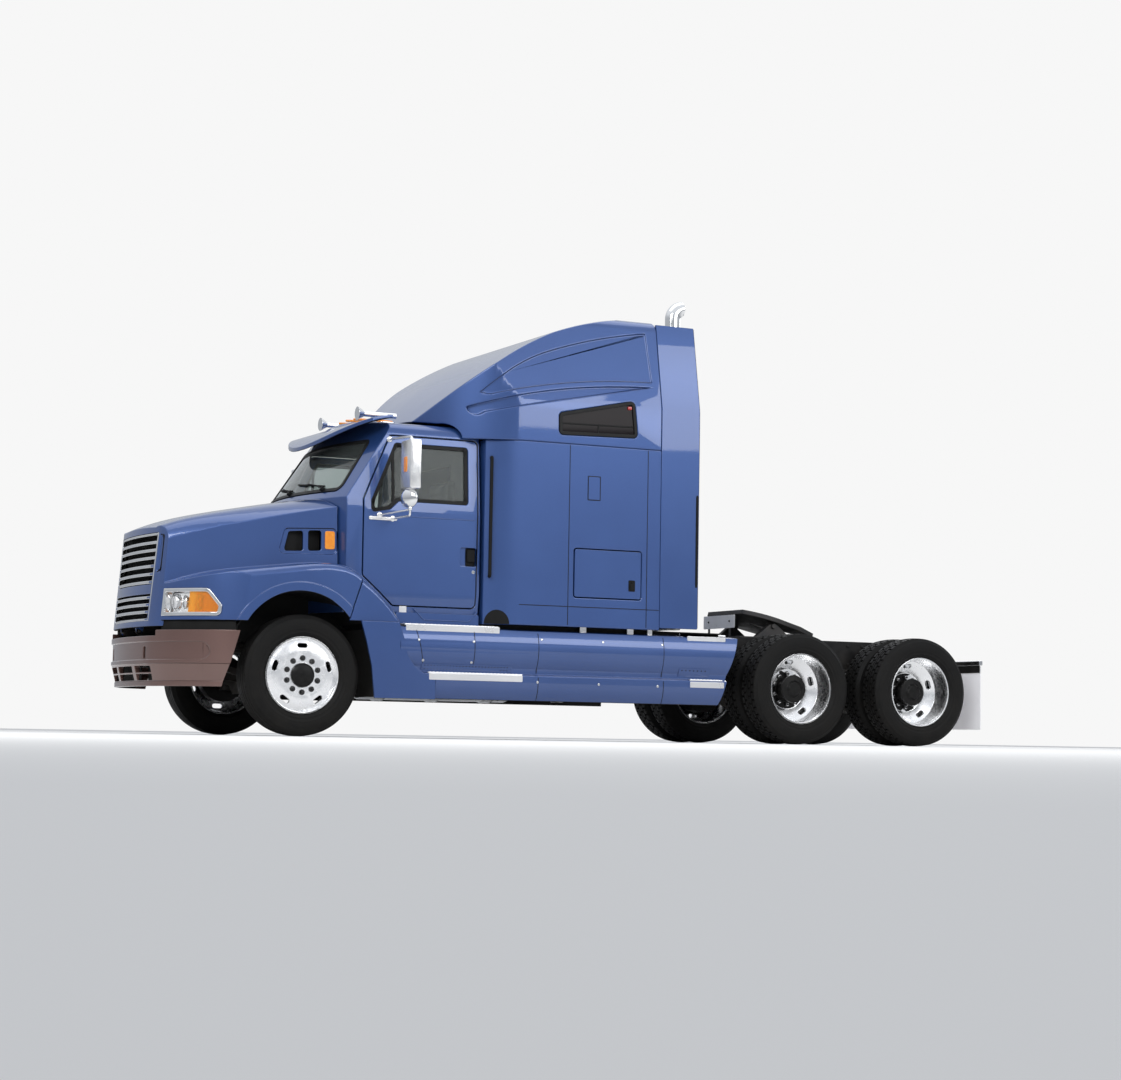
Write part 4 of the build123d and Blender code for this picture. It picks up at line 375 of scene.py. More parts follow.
# Tyres: steered tyres with straight ribs, drive tyres with deep shoulder lugs. A moulded
# carcass with fine sidewall rings, cured from black rubber and dulled by the road.
TYRE_R = 0.512
AXLE_HEIGHT = 0.512
DRIVE_AXLES = (FRONT_AXLE + 4.860, FRONT_AXLE + 6.180)
TWIN_TYRES = (0.7415, 1.0765)
STEPS_ROUND = 180
TREAD_FROM = 0.485
CROWN_DROP, CROWN_HALF = 0.0065, 0.108
# distance from the tyre's middle and radius, from the crown's edge to the bead
SIDEWALL = ((0.1085, 0.5040), (0.1150, 0.4960), (0.1225, 0.4870), (0.1290, 0.4760), (0.1315, 0.4745),
            (0.1350, 0.4610), (0.1395, 0.4400), (0.1418, 0.4180), (0.1418, 0.4080), (0.1405, 0.3960),
            (0.1412, 0.3930), (0.1412, 0.3890), (0.1385, 0.3840), (0.1340, 0.3650), (0.1350, 0.3620),
            (0.1350, 0.3580), (0.1310, 0.3540), (0.1200, 0.3360), (0.1100, 0.3270), (0.1040, 0.3240),
            (0.1040, 0.3130))
# half widths of ribs and grooves from the middle outwards, with the groove's depth
STEER_TREAD = ((0.0150, 0.0), (0.0165, 0.013), (0.0245, 0.013), (0.0260, 0.0), (0.0560, 0.0), (0.0575, 0.013),
               (0.0655, 0.013), (0.0670, 0.0), (0.0985, 0.0), (0.1000, 0.004))
DRIVE_TREAD = ((0.0080, 0.0), (0.0095, 0.016), (0.0185, 0.016), (0.0200, 0.0), (0.0500, 0.0), (0.0515, 0.016),
               (0.0605, 0.016), (0.0620, 0.0), (0.0985, 0.0), (0.1000, 0.003))
# cross cuts: across from, across to, pitch in steps, first step, depth
STEER_CUTS = ((0.090, 0.112, 3, 0, 0.006),)
DRIVE_CUTS = ((0.062, 0.119, 4, 0, 0.015), (0.020, 0.050, 4, 2, 0.011))

tyre_rubber = finish("tyre_rubber", (0.004, 0.004, 0.004), (0.008, 0.0076, 0.0072), 9.0, (0.50, 0.70), 0.35,
                     500.0, dust=0.03, Specular_IOR_Level=0.16)


def moulded_tyre(middle, axle, tread, cuts):
    """One tyre, spun from its section, with cross cuts pressed into its tread."""
    crown = [(across, TYRE_R - CROWN_DROP * (across / CROWN_HALF) ** 2 - depth) for across, depth in tread]
    half = crown + list(SIDEWALL)
    section = [(-across, radius) for across, radius in reversed(half)] + half
    bpy.ops.object.select_all(action="DESELECT")
    bpy.ops.mesh.primitive_circle_add(vertices=len(section), radius=0.1, fill_type="NOTHING")
    tyre = bpy.context.object
    for point, (across, radius) in zip(tyre.data.vertices, section):
        point.co = (axle, middle + across, AXLE_HEIGHT + radius)
    open_mesh(tyre)
    bpy.ops.mesh.spin(steps=STEPS_ROUND, angle=2 * math.pi, center=(axle, 0.0, AXLE_HEIGHT),
                      axis=(0.0, 1.0, 0.0))
    bpy.ops.mesh.select_all(action="SELECT")
    bpy.ops.mesh.remove_doubles(threshold=0.0001)
    bpy.ops.mesh.normals_make_consistent(inside=False)
    for low, high, pitch, phase, depth in cuts:
        bpy.ops.mesh.select_all(action="DESELECT")
        bpy.ops.object.mode_set(mode="OBJECT")
        for face in tyre.data.polygons:
            out = Vector((face.center.x - axle, face.center.z - AXLE_HEIGHT))
            across = face.center.y - middle
            step = int((math.atan2(out.y, out.x) / (2 * math.pi) + 1.0) * STEPS_ROUND) % STEPS_ROUND
            half_pitch = pitch // 2 if across > 0 else 0
            on_top = abs(Vector(face.normal).dot(Vector((out.x, 0.0, out.y)).normalized())) > 0.7
            cut_here = on_top and out.length > TREAD_FROM and (step + phase + half_pitch) % pitch == 0
            if cut_here and low < abs(across) < high:
                face.select = True
        bpy.ops.object.mode_set(mode="EDIT")
        bpy.ops.mesh.select_mode(type="FACE")
        bpy.ops.mesh.extrude_region_move()
        share = 1.0 - depth / TYRE_R
        bpy.ops.transform.resize(value=(share, 1.0, share), center_override=(axle, 0.0, AXLE_HEIGHT))
    bpy.ops.object.mode_set(mode="OBJECT")
    return smooth(tyre, 35.0)


for place, axle, middles, tread, cuts in (
    ("front", FRONT_AXLE, (1.020,), STEER_TREAD, STEER_CUTS),
    ("drive_1", DRIVE_AXLES[0], TWIN_TYRES, DRIVE_TREAD, DRIVE_CUTS),
    ("drive_2", DRIVE_AXLES[1], TWIN_TYRES, DRIVE_TREAD, DRIVE_CUTS),
):
    for label, side in SIDES:
        node_name = "tyres_%s_%s" % (place, label)
        tyres = join_up([moulded_tyre(side * middle, axle, tread, cuts) for middle in middles])
        body = nodes[node_name]["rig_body"]
        fix_on(tyres, "moulded_" + node_name, body, "tyre_rubber", tyre_rubber, node_name)

# Wheels: forged aluminium discs, polished bright, on black painted hubs. The disc is the
# CAD node's own shape with rolled edges. Ten flanged nuts with stud ends hold each one.
NUT_CIRCLE = 0.1429
NUTS = 10
DRUM_R = 0.215
wheel_alloy = finish("wheel_alloy", (0.93, 0.93, 0.935), (0.98, 0.98, 0.98), 14.0, (0.20, 0.30), 0.05, 90.0,
                     dust=0.04, Metallic=1.0)
hub_black = finish("hub_black", (0.004, 0.004, 0.004), (0.008, 0.008, 0.008), 30.0, (0.30, 0.45), 0.3, 300.0,
                   dust=0.03, Specular_IOR_Level=0.18)
nut_steel = finish("nut_steel", (0.045, 0.045, 0.047), (0.09, 0.088, 0.085), 60.0, (0.3, 0.45), 0.2, 500.0,
                   Metallic=1.0)
nut = bolt_head(0.0178, 0.024)
nut = join_up([nut, round_off(drum(0.0095, 0.020, (0.0, 0.0, 0.030), 12), 0.002, 1)])
# the axle, the hub's radius, where the hub and the nuts start, and how far out the brake drum reaches
for place, axle, hub_r, hub_from, seat, drum_to in (
    ("front", FRONT_AXLE, 0.1055, 1.128, 1.1335, 1.062),
    ("drive_1", DRIVE_AXLES[0], 0.132, 0.929, 0.9305, 0.86),
    ("drive_2", DRIVE_AXLES[1], 0.132, 0.929, 0.9305, 0.86),
):
    def black_part(centre, normal):
        """Picks the hub's and the brake drum's faces."""
        reach = math.hypot(centre.x - axle, centre.z - AXLE_HEIGHT)
        out = abs(centre.y)
        return (reach < hub_r and out > hub_from) or (reach < DRUM_R and out < drum_to)

    for label, side in SIDES:
        node_name = "wheel_%s_%s" % (place, label)
        dress(node_name, node_name + "_disc", "wheel_alloy", (wheel_alloy, hub_black), 0.003, 2, 28.0,
              black_part)
        places = []
        for count in range(NUTS):
            around = math.radians(18.0 + 360.0 / NUTS * count)
            x, z = NUT_CIRCLE * math.cos(around), NUT_CIRCLE * math.sin(around)
            places.append(facing_out((axle + x, side * seat, AXLE_HEIGHT + z), (0.0, side, 0.0)))
        name = "wheel_nuts_%s_%s" % (place, label)
        fix_on(set_out(nut, places), name, nodes[node_name]["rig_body"], "wheel_alloy", nut_steel)
bpy.data.objects.remove(nut)

# Body panels: pressed and moulded panels, each the CAD node's shape with rolled edges. They
# are sprayed in metallic blue under a clear coat, and pick up a little dust near the road.


def coachwork(name, deep, light, flake=0.6, metal=0.45):
    """Metallic paint: fine flakes in a coloured base, under a clear coat with slight orange peel."""
    made = finish(name, deep, light, 1.3, (0.30, 0.38), dust=0.12, Metallic=metal, Coat_Weight=1.0,
                  Coat_Roughness=0.02, Coat_IOR=1.5)
    tree = made.node_tree
    shader = tree.nodes["Principled BSDF"]
    where = tree.nodes["Texture Coordinate"].outputs["Object"]
    flakes = wire(tree, "TexVoronoi", "Distance", {"Vector": where, "Scale": 900.0})
    sparkle = wire(tree, "MapRange", "Result", {"Value": flakes, "To Min": 1.0 - flake * 0.25,
                                                "To Max": 1.0 + flake * 0.25})
    under = shader.inputs["Base Color"].links[0].from_socket
    tint = wire(tree, "Mix", "Result", {"Factor": 1.0, "A": under, "B": sparkle}, data_type="RGBA",
                blend_type="MULTIPLY")
    tree.links.new(tint, shader.inputs["Base Color"])
    tree.links.new(relief(tree, where, 55.0, 1.0, 0.05, 0.0006), shader.inputs["Coat Normal"])
    return made


body_blue = coachwork("body_blue", (0.024, 0.068, 0.228), (0.028, 0.077, 0.250))
inner_black = finish("inner_black", (0.005, 0.005, 0.005), (0.011, 0.011, 0.011), 12.0, (0.6, 0.8), 0.4,
                     400.0, dust=0.12, Specular_IOR_Level=0.2)


def faces_in(centre, normal):
    """Picks the faces of an outer panel that look inwards or down."""
    inwards = normal.y * (1.0 if centre.y > 0 else -1.0) < -0.35 and abs(centre.y) > 0.15
    return inwards or normal.z < -0.6


def faces_down(centre, normal):
    """Picks the faces that look down. On the sun visor they are painted black, as painted shade."""
    return normal.z < -0.2


for node_name, width, steps, angle, inside in (
    ("hood", 0.007, 3, 28.0, faces_in),
    ("fender_tails", 0.006, 3, 28.0, faces_in),
    ("sleeper_shell", 0.010, 3, 30.0, None),
    ("hatch_left", 0.003, 2, 30.0, None),
    ("hatch_right", 0.003, 2, 30.0, None),
    ("roof_fairing", 0.012, 4, 24.0, None),
    ("side_extenders", 0.005, 2, 30.0, faces_in),
    ("side_skirts", 0.004, 2, 30.0, faces_in),
    # the sun visor's underside is painted black as painted shade
    ("sun_visor", 0.004, 2, 30.0, faces_down),
    ("door_left", 0.005, 2, 30.0, None),
    ("door_right", 0.005, 2, 30.0, None),
):
    paints = (body_blue, inner_black) if inside else body_blue
    dress(node_name, node_name + "_panel", "body_blue", paints, width, steps, angle, inside)

# Cab shell: a welded steel and aluminium shell. Its outside is painted like the panels, and
# its inside is trimmed in grey moulded plastic and carpet.
CAB_MIDDLE = Vector((-1.85, 0.0, 1.9))
cab_trim = finish("cab_trim", (0.16, 0.165, 0.175), (0.20, 0.205, 0.215), 18.0, (0.6, 0.75), 0.5, 900.0)


def cab_inside(centre, normal):
    """Picks the shell's lining: faces that look towards the middle of the cab."""
    towards = (CAB_MIDDLE - centre).normalized().dot(normal) > 0.12
    roof_line = centre.z > 2.62 and normal.z < 0.0
    return (towards and abs(centre.y) < 1.03 and centre.z > 1.08) or roof_line


dress("cab_shell", "cab_panel", "body_blue", (body_blue, cab_trim), 0.006, 3, 30.0, cab_inside)

# Bumper: a moulded bumper in metallic grey, with a sunk panel round it and open air slots
# low down. Black plates close the slots and the tow openings from behind.
bumper_grey = coachwork("bumper_grey", (0.145, 0.078, 0.066), (0.172, 0.097, 0.083), 0.5, 0.6)
BUMPER_FRONT = -1.215
bumper = copy_of("bumper", "bumper_moulding")
roll_edges(bumper, 0.006, 3, 26.0)
for point in bumper.data.vertices:
    point.co.x = max(point.co.x, FRONT_AXLE + BUMPER_FRONT)
paint_faces(bumper, lambda centre, normal: normal.x > 0.5 and abs(centre.y) < 1.0)
fix_on(bumper, "bumper_moulding", "chassis", "bumper_grey", (bumper_grey, inner_black), "bumper")


def plate(outline, low, thick, roll=0.0, axis="y"):
    """A flat plate cut to an outline in (x, z) across Y, in (y, z) across X or in (x, y) across Z."""
    bpy.ops.object.select_all(action="DESELECT")
    bpy.ops.mesh.primitive_circle_add(vertices=len(outline), radius=0.1, fill_type="NGON")
    piece = bpy.context.object
    way = "xyz".index(axis)
    for point, flat in zip(piece.data.vertices, outline):
        point.co = (*flat[:way], low, *flat[way:])
    piece.data.update()
    push = [0.0, 0.0, 0.0]
    push[way] = thick
    open_mesh(piece)
    bpy.ops.mesh.extrude_region_move(TRANSFORM_OT_translate={"value": push})
    bpy.ops.mesh.select_all(action="SELECT")
    bpy.ops.mesh.normals_make_consistent(inside=False)
    bpy.ops.object.mode_set(mode="OBJECT")
    if roll:
        roll_edges(piece, roll, 2, 25.0)
    return piece


def rounded(x_low, x_high, z_low, z_high, radius, turns=4):
    """The outline of a rectangle with rounded corners."""
    outline = []
    for cx, cz, start in ((x_high - radius, z_high - radius, 0), (x_low + radius, z_high - radius, 90),
                          (x_low + radius, z_low + radius, 180), (x_high - radius, z_low + radius, 270)):
        for step in range(turns + 1):
            around = math.radians(start + 90.0 * step / turns)
            outline.append((cx + radius * math.cos(around), cz + radius * math.sin(around)))
    return outline


def slab(axis, low_a, high_a, low_b, high_b, corner, low, thick, roll=0.0):
    """A plate with rounded corners, as plate() makes it, with each x measured from the front axle."""
    if axis == "x":
        low += FRONT_AXLE
    else:
        low_a += FRONT_AXLE
        high_a += FRONT_AXLE
    return plate(rounded(low_a, high_a, low_b, high_b, corner), low, thick, roll, axis)


def bent_tube(points, radius, bend=0.04, sides=3):
    """A tube along straight runs with a bend at each corner."""
    points = [Vector(point) for point in points]
    route = [points[0]]
    for before, corner, after in zip(points, points[1:], points[2:]):
        route += [corner + (before - corner).normalized() * bend, corner,
                  corner + (after - corner).normalized() * bend]
    route.append(points[-1])
    bpy.ops.object.select_all(action="DESELECT")
    bpy.ops.curve.primitive_nurbs_path_add(location=(0.0, 0.0, 0.0))
    tube = bpy.context.object
    tube.data.splines.clear()
    line = tube.data.splines.new("NURBS")
    line.points.add(len(route) - 1)
    for spot, place in zip(line.points, route):
        spot.co = (*place, 1.0)
    line.order_u = 3
    line.use_endpoint_u = True
    line.resolution_u = 5
    tube.data.bevel_depth = radius
    tube.data.bevel_resolution = sides
    tube.data.use_fill_caps = True
    pick_up(tube)
    bpy.ops.object.convert(target="MESH")
    return smooth(bpy.context.object, 40.0)


SLOTS = ((0.0, 0.40), (-0.415, 0.30), (0.415, 0.30))
TOW_Y = 0.46
backing = []
for middle, width in SLOTS:
    slot_back = slab("x", middle - width / 2, middle + width / 2, 0.446, 0.575, 0.01,
                     -1.110 + 0.10 * abs(middle), 0.006)
    work(slot_back, "SOLIDIFY", thickness=0.002)
    backing.append(slot_back)
for side in (-1, 1):
    tow = side * TOW_Y
    backing.append(slab("x", tow - 0.03, tow + 0.03, 0.625, 0.74, 0.01, -1.100, 0.006))
    backing.append(bent_tube([at(-1.150, tow, 0.640), at(-1.150, tow, 0.724)], 0.011))
fix_on(join_up(backing), "bumper_backing", "chassis", "trim_black", inner_black)

# Filler strip: a black moulding that closes the gap between the bumper's top and the hood,
# from the end of the front step round to the wheel arch on each side.
strips = []
# distance behind the axle and from the centre line, along the strip's outer face
FILLER_LINE = ((-1.085, 0.655), (-1.005, 0.812), (-0.810, 1.020), (-0.640, 1.118), (-0.590, 1.130))
for side in (-1, 1):
    outline = [(FRONT_AXLE + x, side * y) for x, y in FILLER_LINE]
    outline += [(FRONT_AXLE + x + 0.03, side * (y - 0.045)) for x, y in reversed(FILLER_LINE)]
    strips.append(plate(outline, 0.864, 0.082, 0.003, "z"))
fix_on(join_up(strips), "bumper_filler", "chassis", "trim_black", inner_black)

# Grille: chromed bars in a chromed surround. The wide bar in the middle is painted in the
# body's blue and left plain. Fine black mesh stands behind the bars, and a solid black sheet behind the mesh
# is painted shade for the dark inside the nose.
chrome = finish("bright_chrome", (0.78, 0.785, 0.79), (0.86, 0.865, 0.87), 8.0, (0.03, 0.09), 0.03, 60.0,
                dust=0.1, Metallic=1.0)
GRILLE_TOP = 1.696
GRILLE_RISE = 0.746
BLUE_BAR = (GRILLE_TOP - 0.700 * GRILLE_RISE, GRILLE_TOP - 0.580 * GRILLE_RISE)
GRILLE_LEAN = 0.082


def on_blue_bar(centre, normal):
    """Picks the faces of the wide bar between the grille's side frames."""
    return BLUE_BAR[0] < centre.z < BLUE_BAR[1] and abs(centre.y) < 0.484


dress("grille", "grille_bars", "bright_chrome", (chrome, body_blue), 0.005, 3, 30.0, on_blue_bar)
bpy.ops.object.select_all(action="DESELECT")
bpy.ops.mesh.primitive_grid_add(x_subdivisions=34, y_subdivisions=26, size=1.0, location=(0.0, 0.0, 0.0))
mesh_screen = bpy.context.object
for point in mesh_screen.data.vertices:
    across, rise = point.co.x, point.co.y + 0.5
    high = 0.962 + rise * 0.722
    bow = 0.045 * (2 * across) ** 2
    point.co = at(-1.140 + bow + GRILLE_LEAN * (high - 0.9), across * 1.02, high)
mesh_screen.data.update()
work(mesh_screen, "WIREFRAME", thickness=0.006, use_even_offset=False)
# a solid black sheet behind the mesh, painted shade for the dark inside the nose
corners = [(-0.50, 0.955), (0.50, 0.955), (0.515, 1.69), (-0.515, 1.69)]
painted_shade_sheet = plate(corners, FRONT_AXLE - 1.052, 0.004, 0.0, "x")
work(painted_shade_sheet, "SOLIDIFY", thickness=0.001)
fix_on(join_up([mesh_screen, painted_shade_sheet]), "grille_screen", "hood", "trim_black", inner_black)

# Headlamps: a clear lens over bright reflectors, with the amber turn lamp at its outer end,
# in a wide chromed bezel clipped into the fender.
clear_lens = finish("clear_lens", (0.93, 0.94, 0.95), (0.96, 0.96, 0.97), 2.0, (0.02, 0.05), 0.25, 70.0,
                    IOR=1.35, Transmission_Weight=1.0, Coat_Weight=0.4)
amber_lens = finish("amber_lens", (0.80, 0.24, 0.008), (0.90, 0.33, 0.02), 40.0, (0.08, 0.16), 0.5, 160.0,
                    Coat_Weight=1.0, Coat_Roughness=0.05)
amber_clear = finish("amber_clear", (1.0, 0.40, 0.03), (1.0, 0.46, 0.05), 40.0, (0.04, 0.10), 0.6, 120.0,
                     IOR=1.3, Transmission_Weight=0.7, Coat_Weight=1.0, Coat_Roughness=0.03)
LAMP_SPLIT = 0.915                        # distance from the centre line where the amber lens begins
LAMP_HIGH = 1.10


def ring(radius, thick, place, turned=ALONG_X, around=40, through=10):
    """A round ring, with its axis along X where nothing else is said."""
    bpy.ops.object.select_all(action="DESELECT")
    bpy.ops.mesh.primitive_torus_add(major_radius=radius, minor_radius=thick, major_segments=around,
                                     minor_segments=through, location=place, rotation=turned)
    return bpy.context.object


def ball(radius, place, around, through, turned=UPRIGHT, scale=(1.0, 1.0, 1.0)):
    """A ball, stretched or flattened along its own axes."""
    bpy.ops.object.select_all(action="DESELECT")
    bpy.ops.mesh.primitive_uv_sphere_add(segments=around, ring_count=through, radius=radius, location=place,
                                         rotation=turned)
    bpy.context.object.scale = scale
    return bpy.context.object


def outer_skin(node, wanted):
    """The faces of a CAD node that a test picks, as an open sheet."""
    sheet = copy_of(node, "sheet")
    bpy.context.tool_settings.mesh_select_mode = (False, False, True)
    for face in sheet.data.polygons:
        face.select = not wanted(face.center, face.normal)
    bpy.ops.object.mode_set(mode="EDIT")
    bpy.ops.mesh.select_mode(type="FACE")
    bpy.ops.mesh.delete(type="FACE")
    bpy.ops.object.mode_set(mode="OBJECT")
    return sheet


def cut_border(sheet, width, kept=True):
    """Keeps only a border along a sheet's own edge, or only what lies inside that border."""
    open_mesh(sheet)
    bpy.ops.mesh.select_mode(type="FACE")
    bpy.ops.mesh.inset(thickness=width, depth=0.0, use_boundary=True)
    if not kept:
        bpy.ops.mesh.select_all(action="INVERT")
    bpy.ops.mesh.delete(type="FACE")
    bpy.ops.object.mode_set(mode="OBJECT")
    return sheet


def lamp_front(centre, normal):
    """Picks the front skin of the lamps, which bows forwards and outwards."""
    side = 1.0 if centre.y > 0 else -1.0
    return normal.x * -0.75 + normal.y * side * 0.55 > 0.30 and abs(normal.z) < 0.6


bezel = cut_border(outer_skin("headlamps", lamp_front), 0.030)
work(bezel, "SOLIDIFY", thickness=0.022, offset=0.45)
roll_edges(bezel, 0.005, 3, 35.0)
fix_on(bezel, "headlamp_bezels", "hood", "bright_chrome", chrome, "headlamps")
lens = cut_border(outer_skin("headlamps", lamp_front), 0.026, False)
open_mesh(lens)
for side in (-1, 1):
    bpy.ops.mesh.select_all(action="SELECT")
    bpy.ops.mesh.bisect(plane_co=(0.0, side * LAMP_SPLIT, LAMP_HIGH), plane_no=(0.0, 1.0, 0.0))
bpy.ops.object.mode_set(mode="OBJECT")
work(lens, "SOLIDIFY", thickness=0.004, offset=0.0)
smooth(lens, 30.0)
paint_faces(lens, lambda centre, normal: abs(centre.y) > LAMP_SPLIT)
fix_on(lens, "headlamp_lenses", "hood", "lamp_lens", (clear_lens, amber_clear))
pot = cut_border(outer_skin("headlamps", lamp_front), 0.012, False)
open_mesh(pot)
bpy.ops.mesh.inset(thickness=0.020, depth=-0.055, use_boundary=True)
bpy.ops.object.mode_set(mode="OBJECT")
work(pot, "SOLIDIFY", thickness=0.003, offset=-1.0)
bowls = [pot]
for side in (-1, 1):
    for across, radius in ((0.748, 0.052), (0.822, 0.040), (0.925, 0.046)):
        place = at(-1.040 + max(0.0, across - 0.70) * 0.85, side * across, LAMP_HIGH)
        bowls.append(ball(radius, place, 24, 12, scale=(0.42, 1.0, 1.35)))
        lip = ring(radius * 0.96, 0.006, place, ALONG_X, 28, 8)
        lip.scale = (1.35, 1.0, 1.0)
        bowls.append(lip)
fix_on(join_up(bowls, 35.0), "headlamp_reflectors", "hood", "bright_chrome", chrome)

# Hood side vents: black ducts behind the two openings on each side, an amber marker lamp set
# into the rear end of the recess, and a thin black J-shaped plate beside the grille, painted shade for the
# dark slot there.
felt = {}


def surface_of(shape):
    """A mesh's surface, to look for places on."""
    return BVHTree.FromPolygons([v.co for v in shape.vertices], [tuple(f.vertices) for f in shape.polygons])


def touch(node, start, way):
    """Where a line from outside first meets a CAD node, and which way the node faces there."""
    if node not in felt:
        felt[node] = surface_of(nodes[node].data)
    spot, facing, _, _ = felt[node].ray_cast(Vector(start), Vector(way).normalized())
    return (spot, facing) if spot else (Vector(start), -Vector(way))


def beside(node, side, x, z):
    """Where a line from one side of the truck meets a node, x metres behind the front axle."""
    return touch(node, at(x, side * 2.0, z), (0.0, -side, 0.0))


def ahead(node, y, z):
    """Where a line from ahead of the truck meets a node."""
    return touch(node, (-6.0, y, z), (1.0, 0.0, 0.0))[0]


def hit(spot):
    """Whether a line from one side has met its node."""
    return abs(spot.y) < 1.4


ducts = []
for side in (-1, 1):
    recess = beside("hood", side, 0.082, 1.64)[0].y - side * 0.07
    for low, high in ((-0.115, 0.075), (0.090, 0.230)):
        ducts.append(slab("y", low, high, 1.55, 1.77, 0.02, recess, -side * 0.004))
fix_on(join_up(ducts), "hood_vent_ducts", "hood", "trim_black", inner_black)
markers = []
for side in (-1, 1):
    spot, facing = beside("hood", side, 0.287, 1.672)
    lamp_body = plate(rounded(-0.043, 0.043, -0.078, 0.078, 0.018), -0.006, 0.020, 0.005, "z")
    along = facing.cross(Vector((1.0, 0.0, 0.0))).normalized()
    across = along.cross(facing).normalized()
    lamp_body.matrix_world = Matrix.Translation(spot) @ Matrix((across, along, facing)).transposed().to_4x4()
    markers.append(lamp_body)
fix_on(join_up(markers), "hood_marker_lamps", "hood", "amber_lens", amber_lens)
# the slot's outline, as distances from the centre line and heights
SLOT_LINE = ((0.566, 1.676), (0.590, 1.672), (0.608, 1.640), (0.613, 1.560), (0.612, 1.430), (0.604, 1.394),
             (0.582, 1.372), (0.556, 1.360), (0.576, 1.384), (0.590, 1.410), (0.596, 1.450), (0.596, 1.600),
             (0.588, 1.645))
SLOT_MIDDLE = (0.640, 1.52)
# each slot is a thin black plate laid on the hood: painted shade for the slot's dark gap
for label, side in SIDES:
    middle = ahead("hood", side * SLOT_MIDDLE[0], SLOT_MIDDLE[1]).x
    slot = plate([(side * y, z) for y, z in SLOT_LINE], 0.0, 0.004, 0.0, "x")
    for point in slot.data.vertices:
        ground = ahead("hood", point.co.y, point.co.z).x
        if abs(ground - middle) > 0.12:
            ground = middle - 0.010 + (point.co.z - SLOT_MIDDLE[1]) * GRILLE_LEAN
        point.co.x += ground - 0.0022
    fix_on(smooth(slot, 40.0), "nose_slot_" + label, "hood", "trim_black", inner_black)

# Wheel arch liners: bent black plastic sheets over each front wheel. The top part lifts with
# the hood, and the rear part stays on the chassis.
LINER_R = 0.705
LINER_Y = (0.560, 1.150)


def arch_sheet(name, body, start, end, radius):
    """A bent sheet round the front axle, between two angles from the rear over the top."""
    sheets = []
    for side in (-1, 1):
        bpy.ops.object.select_all(action="DESELECT")
        bpy.ops.mesh.primitive_plane_add(size=1.0)
        sheet = bpy.context.object
        bpy.ops.object.mode_set(mode="EDIT")
        bpy.ops.mesh.select_mode(type="VERT")
        bpy.ops.mesh.select_all(action="DESELECT")
        bpy.ops.object.mode_set(mode="OBJECT")
        around = math.radians(start)
        x, z = FRONT_AXLE + radius * math.cos(around), AXLE_HEIGHT + radius * math.sin(around)
        for number, point in enumerate(sheet.data.vertices):
            point.co = (x, side * LINER_Y[number % 2], z + (0.0 if number < 2 else -0.001))
            point.select = number < 2
        bpy.ops.object.mode_set(mode="EDIT")
        bpy.ops.mesh.select_all(action="INVERT")
        bpy.ops.mesh.delete(type="VERT")
        bpy.ops.mesh.select_all(action="SELECT")
        bpy.ops.mesh.spin(steps=20, angle=math.radians(end - start), center=(FRONT_AXLE, 0.0, AXLE_HEIGHT),
                          axis=(0.0, 1.0, 0.0))
        bpy.ops.mesh.select_all(action="SELECT")
        bpy.ops.mesh.remove_doubles(threshold=0.0005)
        bpy.ops.mesh.normals_make_consistent(inside=False)
        bpy.ops.object.mode_set(mode="OBJECT")
        work(sheet, "SOLIDIFY", thickness=0.004, offset=0.0)
        sheets.append(sheet)
    return fix_on(join_up(sheets, 40.0), name, body, "trim_black", inner_black)


def arc(x, z, half_x, half_z, turns):
    """Points of an arc about a middle, at angles in degrees. The middle's x is from the front axle."""
    turns = [math.radians(turn) for turn in turns]
    return [(FRONT_AXLE + x + half_x * math.cos(turn), z + half_z * math.sin(turn)) for turn in turns]


arch = arc(0.0, AXLE_HEIGHT, LINER_R, LINER_R, range(36, 147, 10))
outline = [(FRONT_AXLE + 0.560, 0.800)] + arch + [(FRONT_AXLE - 0.590, 0.800)]
arch_walls = join_up([plate(outline, side * LINER_Y[0], side * 0.004) for side in (-1, 1)])
fix_on(arch_walls, "arch_liner_walls", "hood", "trim_black", inner_black)
arch_sheet("arch_liners_top", "hood", 40.0, 146.0, LINER_R)
arch_sheet("arch_liners_rear", "chassis", -14.0, 36.0, 0.685)

# Windscreen and side glass: bonded laminated panes, faintly green, each with a black rubber
# seal round its edge.
screen_glass = finish("screen_glass", (0.50, 0.56, 0.55), (0.54, 0.59, 0.58), 2.0, (0.0, 0.01),
                      Transmission_Weight=0.95, IOR=1.25, Specular_IOR_Level=0.5)
seal_rubber = finish("seal_rubber", (0.006, 0.006, 0.006), (0.012, 0.012, 0.012), 15.0, (0.42, 0.6), 0.4,
                     500.0, Specular_IOR_Level=0.25)
SEAL_W = 0.034
for node_name, wanted, proud in (
    ("windscreen", lambda centre, normal: normal.x < -0.35 and normal.z > 0.2, 0.016),
    ("door_glass_left", lambda centre, normal: normal.y < -0.6, 0.012),
    ("door_glass_right", lambda centre, normal: normal.y > 0.6, 0.012),
):
    for place in nodes[node_name].material_slots:
        place.material = screen_glass
    seal = cut_border(outer_skin(node_name, wanted), SEAL_W)
    work(seal, "SOLIDIFY", thickness=proud, offset=0.8)
    roll_edges(seal, 0.003, 2, 35.0)
    fix_on(seal, node_name + "_seal", nodes[node_name]["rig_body"], "seal_rubber", seal_rubber)

# Quarter window bar: a black upright between the fixed front pane and the sliding one.
for label, side in SIDES:
    ends = [beside("door_glass_" + label, side, 0.835, high)[0] for high in (2.010, 2.505)]
    fix_on(bent_tube(ends, 0.014), "quarter_bar_" + label, "door_" + label, "seal_rubber", seal_rubber)

